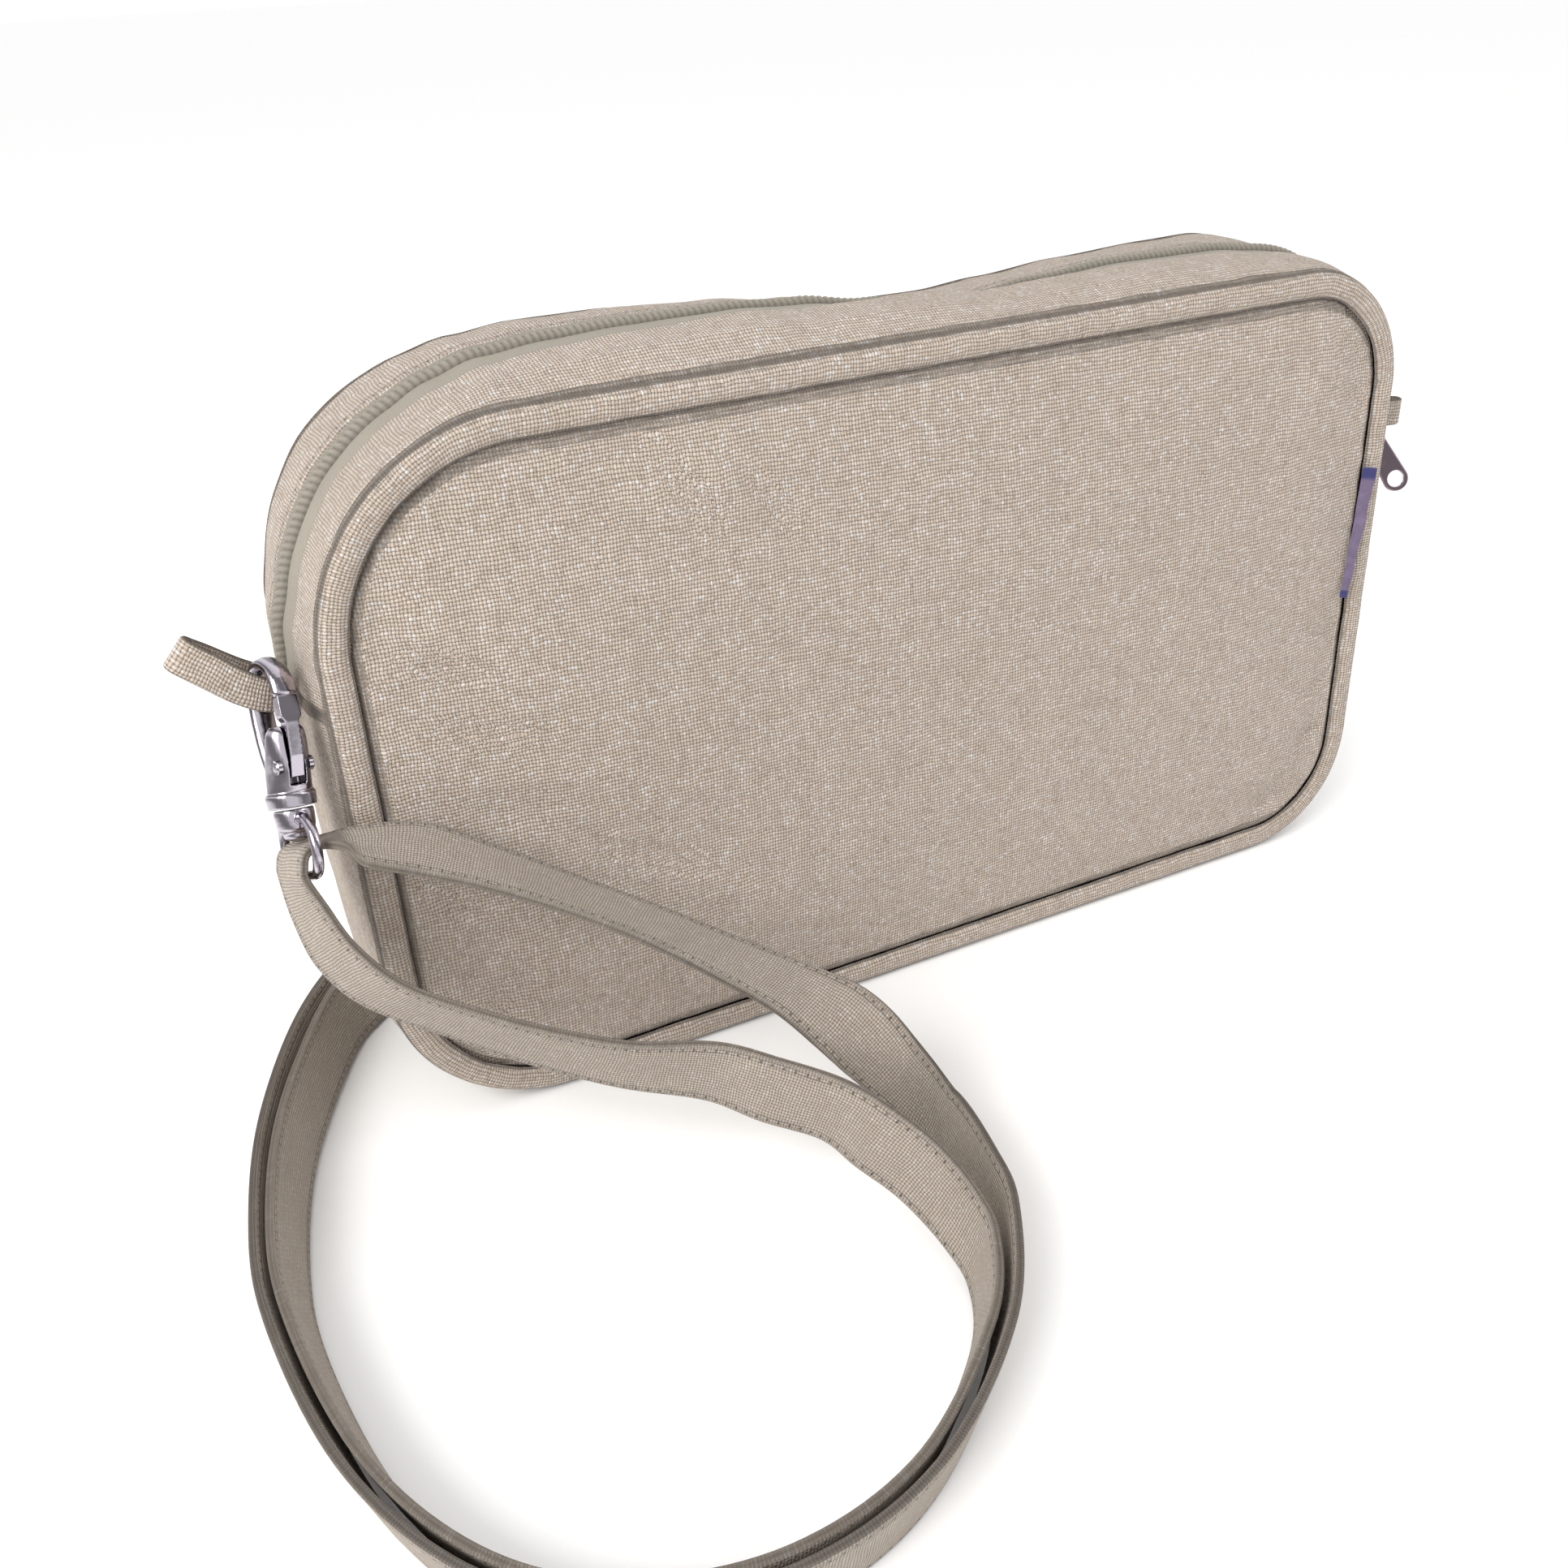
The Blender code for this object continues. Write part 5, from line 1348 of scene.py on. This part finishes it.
class POUCH_OT_stage(bpy.types.Operator):
    """Make the floor, the light and the camera"""

    bl_idname = "pouch.stage"
    bl_label = "Floor, Light and Camera"

    def execute(self, context):
        scene = context.scene
        look = scene.pouch_stage
        data = bpy.data.cameras.new("view_camera")
        data.lens, data.sensor_width = CAMERA_LENS, CAMERA_SENSOR
        data.clip_start, data.clip_end = 0.01, 100.0
        camera = bpy.data.objects.new("view_camera", data)
        scene.collection.objects.link(camera)
        camera.matrix_world = Matrix(CAMERA_MATRIX)
        scene.camera = camera

        world = bpy.data.worlds.new("studio")
        scene.world = world
        world.use_nodes = True
        sky = world.node_tree.nodes["Background"]
        sky.inputs["Color"].default_value = (1.0, 1.0, 1.0, 1.0)
        sky.inputs["Strength"].default_value = look.sky_strength
        scene.view_settings.view_transform = "Standard"

        for name, place, aim, size, share, colour in LIGHTS:
            lamp = bpy.data.lights.new(name, "AREA")
            lamp.shape, lamp.size = "SQUARE", size
            lamp.energy, lamp.color = share * look.key_power, colour
            made = bpy.data.objects.new(name, lamp)
            scene.collection.objects.link(made)
            made.location = place
            toward = Vector(aim) - Vector(place)
            made.rotation_euler = toward.to_track_quat("-Z", "Y").to_euler()

        bm = bmesh.new()
        bmesh.ops.create_grid(bm, x_segments=8, y_segments=8, size=FLOOR_REACH)
        mesh = bpy.data.meshes.new("floor")
        bm.to_mesh(mesh)
        bm.free()
        mesh.materials.append(plain("floor_paper", tuple(look.floor), 0.9))
        floor = bpy.data.objects.new("floor", mesh)
        floor.location.z = -FLOOR_DROP
        scene.collection.objects.link(floor)
        return {"FINISHED"}


class POUCH_OT_panels(bpy.types.Operator):
    """Make the two crowned linen faces"""

    bl_idname = "pouch.panels"
    bl_label = "Faces"

    def execute(self, context):
        linen = linen_finish(context, "linen_face")
        share = context.scene.pouch_cloth.crease_depth
        for node, side, dents, narrow in (
            ("front_panel", -1, FRONT_DENTS, FRONT_CREASES),
            ("back_panel", 1, BACK_DENTS, BACK_CREASES),
        ):
            panel = make_panel(f"{node}_cloth", side, dents, narrow, share, linen)
            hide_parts(node)
        return {"FINISHED"}


class POUCH_OT_welts(bpy.types.Operator):
    """Make the raised border strips round both faces"""

    bl_idname = "pouch.welts"
    bl_label = "Border Strips"

    def execute(self, context):
        linen = linen_finish(context, "linen_welt")
        for node, side in (("front_welt", -1), ("back_welt", 1)):
            welt = make_welt(f"{node}_cloth", side, linen)
            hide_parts(node)
        return {"FINISHED"}


class POUCH_OT_bands(bpy.types.Operator):
    """Make the gusset bands beside the zip and round the base"""

    bl_idname = "pouch.bands"
    bl_label = "Gusset Bands"

    def execute(self, context):
        linen = linen_finish(context, "linen_band")
        seam = BACK_EDGE_SHARE * BAG_DEPTH + STITCH_INSET
        stitch = context.scene.pouch_cloth.stitch_length
        stitched = linen_finish(context, "linen_band_stitched", 1.0, (seam,), stitch)
        upper = resampled(zip_path(), SAMPLE_STEP)
        lower = resampled(base_path(), SAMPLE_STEP)
        front = band_profile(0.0, FRONT_EDGE_SHARE, CLOTH, 14, BAND_TUCK, 0.0)
        back = band_profile(BACK_EDGE_SHARE, 1.0, CLOTH, 14, 0.0, BAND_TUCK)
        base = band_profile(0.0, 1.0, CLOTH, 30, BAND_TUCK, BAND_TUCK)
        for node, path, table, profile, material, seed in (
            ("zip_band_front", upper, ZIP_SWELL, front, linen, 1.0),
            ("zip_band_back", upper, ZIP_SWELL, back, stitched, 2.0),
            ("bottom_band", lower, BASE_SWELL, base, linen, 3.0),
        ):
            band = make_band(f"{node}_cloth", path, table, profile, material, BAND_SOFTNESS, seed)
            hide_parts(node)
        return {"FINISHED"}


class POUCH_OT_zip(bpy.types.Operator):
    """Make the zip's tape and its beaded coil"""

    bl_idname = "pouch.zip"
    bl_label = "Zip Tape and Coil"

    def execute(self, context):
        colour = tuple(context.scene.pouch_colours.zip_cloth)
        pitch = context.scene.pouch_cloth.bead_pitch
        sink = CLOTH - TAPE_THICKNESS
        # The tape runs a little way under both bands
        profile = band_profile(
            FRONT_EDGE_SHARE - 0.02, BACK_EDGE_SHARE + 0.02, TAPE_THICKNESS, 12, 0.0, 0.0)
        tape = make_band(
            "zip_tape_cloth", resampled(zip_path(), SAMPLE_STEP), ZIP_SWELL, profile,
            zip_weave("zip_tape_weave", colour, False), 0.1 * MM, 4.0, sink)
        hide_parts("zip_tape")

        half = 0.5 * COIL_WIDTH / BAG_DEPTH
        rows = []
        for sample, way, values in stations_of(resampled(zip_path(), COIL_STEP), ZIP_SWELL):
            row = []
            for i in range(23):
                side = 2 * i / 22 - 1
                # Slanted beads on the front half, and a fine chain on the back half
                front = side < 0
                lean = (0.55 if front else 0.30) * side
                turn = way / pitch + lean
                bead = 0.5 + 0.5 * math.cos(math.tau * (1.0 if front else 2.0) * turn)
                lobe = (1 - (2 * abs(side) - 1) ** 2) ** 0.5
                rise = lobe * (0.62 + 0.38 * bead ** 0.6 if front else 0.56 + 0.16 * bead)
                # Painted shade between the beads and down the coil's sides
                shade = (1 - bead) ** 2 * (0.75 if front else 0.45) + 0.6 * (1 - lobe) ** 2
                across = COIL_SHARE + half * side
                point = gusset_point(sample, values, across, sink - COIL_RISE * rise)
                row.append((point, (way, across * BAG_DEPTH, min(1.0, shade))))
            # Painted shade on the hidden strip under the coil
            under = gusset_point(sample, values, COIL_SHARE, sink + 0.3 * MM)
            row.append((under, (way, 0.0, 1.0)))
            rows.append(row)
        beads = cloth_piece("zip_coil_beads", rows, zip_weave("zip_coil_yarn", colour, True))
        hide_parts("zip_coil")
        return {"FINISHED"}


class POUCH_OT_slider(bpy.types.Operator):
    """Make the zip's slider, its ring and its pull"""

    bl_idname = "pouch.slider"
    bl_label = "Slider and Pull"

    def execute(self, context):
        finish = plated("zip_steel", tuple(context.scene.pouch_colours.steel), 0.26, 1.0)
        out, across, up = Vector((1, 0, 0)), Vector((0, 1, 0)), Vector((0, 0, 1))
        base = beside_coil(right_seam_height() + SLIDER_HEIGHT) + out * SEAM_GAP
        half_rise = 0.25 * SLIDER_RISE
        cover = [
            (base + out * half_rise + up * share * SLIDER_LENGTH,
             out * half_rise, across * width * SLIDER_WIDTH / 2)
            for share, width in SLIDER_COVER
        ]
        bridge = [
            (base + out * (half_rise + rise * CROWN_RISE) + up * share * SLIDER_LENGTH,
             out * 0.14 * SLIDER_RISE, across * 0.12 * SLIDER_WIDTH)
            for share, rise in SLIDER_CROWN
        ]
        body = guide("slider_guide", box_rings(cover))
        body = joined(body, [guide("crown_guide", box_rings(bridge))])
        slider = settle(cast(body, *SLIDER_SKIN), "zip_slider_metal", Matrix(), finish)
        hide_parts("zip_slider")

        under = Vector((0.5 * SLIDER_RISE + 0.33 * CROWN_RISE, 0.0, -0.12 * SLIDER_LENGTH))
        along = Vector(PULL_DIRECTION).normalized()
        ring_axis = along.cross(Vector(RING_SIDE)).normalized()
        ring_front = ring_axis.cross(along)
        facing = along.cross(Vector(PULL_FACE).cross(along)).normalized()
        side = along.cross(facing).normalized()
        centre = base + under + along * JUMP_RING_RADIUS
        rings = []
        for a, b in circle(40):
            spoke = along * a + ring_front * b
            middle = centre + spoke * JUMP_RING_RADIUS
            rings.append([
                middle + (spoke * x + ring_axis * y) * JUMP_RING_WIRE for x, y in circle(14)
            ])
        wire = skin_mesh("zip_jump_ring_metal", rings, cloth=False, loop=True)
        ring = link_mesh("zip_jump_ring_metal", wire, finish)
        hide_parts("zip_jump_ring")

        start = centre + along * (JUMP_RING_RADIUS + PULL_EYE_RADIUS - JUMP_RING_WIRE - SEAM_GAP)
        half = PULL_THICKNESS / 2
        top_half, end_half = PULL_TOP_WIDTH / 2, PULL_END_WIDTH / 2
        reach = PULL_LENGTH - end_half
        outline = [
            (-top_half * math.sin(math.pi * k / 16), top_half * math.cos(math.pi * k / 16))
            for k in range(17)
        ]
        outline += [
            (reach + end_half * math.sin(math.pi * k / 20), -end_half * math.cos(math.pi * k / 20))
            for k in range(21)
        ]
        plate = guide("pull_guide", [
            [start + along * a + side * s * scale + facing * level * half for a, s in outline]
            for level, scale in ((-1.0, 0.94), (-0.7, 1.0), (0.7, 1.0), (1.0, 0.94))
        ])
        holes = []
        for distance, radius in ((0.0, PULL_EYE_RADIUS), (reach, PULL_HOLE_RADIUS)):
            place = start + along * distance
            holes.append(guide("hole_guide", [
                [place + facing * level * half + radius * (along * x + side * y)
                 for x, y in circle(40)]
                for level in (-2.0, 2.0)
            ]))
        plate = joined(plate, holes, "DIFFERENCE")
        pull = settle(cast(plate, *PULL_SKIN), "zip_pull_metal", Matrix(), finish)
        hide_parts("zip_pull")
        return {"FINISHED"}


class POUCH_OT_tabs(bpy.types.Operator):
    """Make the fabric loops at both ends of the zip"""

    bl_idname = "pouch.tabs"
    bl_label = "End Loops"

    def execute(self, context):
        linen = linen_finish(context, "linen_loop")
        seam = Vector((-BAG_WIDTH / 2, 0.0, BAG_HEIGHT - TOP_LEFT_RADIUS - LEFT_SEAM_DROP))
        points, edges = [], []
        for out, across, up, lift in TAB_ROWS:
            points.append(seam + Vector((-out * TAB_LENGTH, across * BAG_DEPTH, up * TAB_LENGTH)))
            edges.append(Vector((math.sin(math.radians(lift)), 0.0, math.cos(math.radians(lift)))))
        route, edges = smooth_route(points, 6), smooth_route(edges, 6)
        rows = ribbon_rows(route, edges, TAB_WIDTH, TAB_CLOTH, TAB_SOFTNESS, 3.0, TAB_CLEFT)
        left = cloth_piece("strap_tab_cloth", rows, linen)
        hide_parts("strap_tab")

        root = beside_coil(right_seam_height() - TAB_WIDTH / 2)
        root += Vector((0.0, 0.05 * BAG_DEPTH, 0.0))
        root.x = BAG_WIDTH / 2 + SWELL * BASE_SWELL[0][2] + CLOTH / 2
        across = Vector((math.sin(END_TAB_LEAN), math.cos(END_TAB_LEAN), 0.0))
        level = Vector((math.cos(END_TAB_LEAN), -math.sin(END_TAB_LEAN), 0.0))
        up = Vector((0.0, 0.0, 1.0))
        along = level * math.cos(END_TAB_DROP) - up * math.sin(END_TAB_DROP)
        edge = level * math.sin(END_TAB_DROP) + up * math.cos(END_TAB_DROP)
        route = loop_route(root, along, 2.6 * TAB_CLOTH, END_TAB_LENGTH, across, 0.9)
        edges = [edge] * len(route)
        rows = ribbon_rows(route, edges, TAB_WIDTH, TAB_CLOTH, TAB_SOFTNESS, 6.0, TAB_CLEFT)
        right = cloth_piece("end_tab_cloth", rows, linen)
        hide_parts("end_tab")
        return {"FINISHED"}


class POUCH_OT_label(bpy.types.Operator):
    """Make the small plain label in the right seam"""

    bl_idname = "pouch.label"
    bl_label = "Side Label"

    def execute(self, context):
        colours = context.scene.pouch_colours
        finish = satin_label("label_satin", tuple(colours.label), tuple(colours.label_end))
        place = BAG_WIDTH / 2 - WELT_WIDTH - SEAM_GAP - LABEL_THICKNESS
        root_y = FRONT - PANEL_STEP - 2 * SEAM_GAP
        rows = []
        for i in range(49):
            share = i / 48
            width, shift = (value * LABEL_WIDTH for value in between(LABEL_ROWS, share))
            z = BAG_HEIGHT * LABEL_TOP - LABEL_LENGTH * share
            foot = Vector((place - shift, root_y - LABEL_LIFT * shift, z))
            tip = foot + Vector((*LABEL_SLOPE, 0.0)) * width
            along = (tip - foot).normalized()
            normal = Vector((-along.y, along.x, 0.0))
            # The dyed ends: the upper seventh, and the last part of the lower end
            low_end = 0.35 + (share - 0.93) / 0.07 if share > 0.93 else 0.0
            end = min(1.0, max(0.0, 1.1 - share / 0.14, low_end))
            row = []
            for side in (-1, 1):
                for k in range(7):
                    t = k / 6 if side < 0 else 1 - k / 6
                    bow = LABEL_BOW * math.sin(math.pi * t)
                    bow += 0.08 * MM * wobble(z, t * MM, 4.0, 5 * MM)
                    wall = LABEL_THICKNESS / 2 * side * (0.6 if t > 0.9 else 1.0)
                    row.append((foot.lerp(tip, t) + normal * (wall + bow), (z, t * width, end)))
            rows.append(row)
        label = cloth_piece("side_label_satin", rows, finish)
        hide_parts("side_label")
        return {"FINISHED"}


class POUCH_OT_clip(bpy.types.Operator):
    """Make the trigger clip: hook with its barrel, gate, rivets, collar and ring"""

    bl_idname = "pouch.clip"
    bl_label = "Trigger Clip"

    def execute(self, context):
        finish = plated("clip_chrome", tuple(context.scene.pouch_colours.chrome), 0.10, 0.6)
        place = clip_matrix()
        hook = settle(cast(hook_shape(), *HOOK_SKIN), "hook_body_metal", place, finish)
        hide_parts("hook_body")

        for side, name in ((-1, "rivet_left"), (1, "rivet_right")):
            centre = gate_pivot() + Vector((side * 0.70 * BARREL_RADIUS, 0.0, 0.0))
            rivet = guide("rivet_guide", [
                [centre + Vector((side * out, size * x, size * y)) for x, y in circle(32)]
                for out, size in ((out * MM, share * PIN_RADIUS) for out, share in RIVET_ROWS)
            ])
            settle(rivet, name, place, finish, sharp_degrees=35.0).parent = hook

        lever = guide("gate_guide", box_rings(gate_blocks()))
        gate = settle(cast(lever, *GATE_SKIN), "hook_gate_metal", place, finish, "gate")
        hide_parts("hook_gate")

        turned = place @ Matrix.Rotation(RING_SWIVEL, 4, "Z")
        ring = settle(cast(ring_shape(), *RING_SKIN), "swivel_ring_metal", turned, finish)
        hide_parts("swivel_ring")
        return {"FINISHED"}


class POUCH_OT_strap(bpy.types.Operator):
    """Make the long doubled strap with its edge stitching"""

    bl_idname = "pouch.strap"
    bl_label = "Strap"

    def execute(self, context):
        cloth = context.scene.pouch_cloth
        colours = context.scene.pouch_colours
        tones = (tuple(colours.strap), tuple(colours.linen_pale), tuple(colours.linen_dark))
        edge = STRAP_WIDTH / 2 - STRAP_STITCH_INSET
        seams = (edge, -edge)
        length = cloth.stitch_length
        finish = woven("strap_canvas", tones, cloth.strap_pitch, 0.45, seams, length, 0.88)
        route, marks = strap_route(10)
        rows = ribbon_rows(
            route, marks, STRAP_WIDTH, STRAP_THICKNESS, STRAP_SOFTNESS, 9.0, STRAP_CLEFT)
        strap = cloth_piece("strap_cloth", rows, finish, caps=False)
        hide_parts("strap")
        return {"FINISHED"}


class POUCH_PT_panel(bpy.types.Panel):
    """List of the pouch's pieces and settings"""

    bl_label = "Pouch"
    bl_idname = "POUCH_PT_panel"
    bl_space_type = "VIEW_3D"
    bl_region_type = "UI"
    bl_category = "Pouch"

    def draw(self, context):
        layout = self.layout
        for name, _ in GROUPS:
            group = getattr(context.scene, name)
            box = layout.box()
            for setting in group.__annotations__:
                box.prop(group, setting)
        for operator in OPERATORS:
            layout.operator(operator.bl_idname)


OPERATORS = (
    POUCH_OT_stage,
    POUCH_OT_panels,
    POUCH_OT_welts,
    POUCH_OT_bands,
    POUCH_OT_zip,
    POUCH_OT_slider,
    POUCH_OT_tabs,
    POUCH_OT_label,
    POUCH_OT_clip,
    POUCH_OT_strap,
)
GROUPS = (
    ("pouch_cloth", PouchCloth),
    ("pouch_colours", PouchColours),
    ("pouch_stage", PouchStage),
)


def register():
    for name, group in GROUPS:
        bpy.utils.register_class(group)
        setattr(bpy.types.Scene, name, PointerProperty(type=group))
    for kind in (*OPERATORS, POUCH_PT_panel):
        bpy.utils.register_class(kind)


def unregister():
    for kind in (POUCH_PT_panel, *reversed(OPERATORS)):
        bpy.utils.unregister_class(kind)
    for name, group in reversed(GROUPS):
        delattr(bpy.types.Scene, name)
        bpy.utils.unregister_class(group)


def main():
    """Register the classes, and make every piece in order."""
    register()
    for operator in OPERATORS:
        family, action = operator.bl_idname.split(".")
        getattr(getattr(bpy.ops, family), action)()


if __name__ == "__main__":
    main()
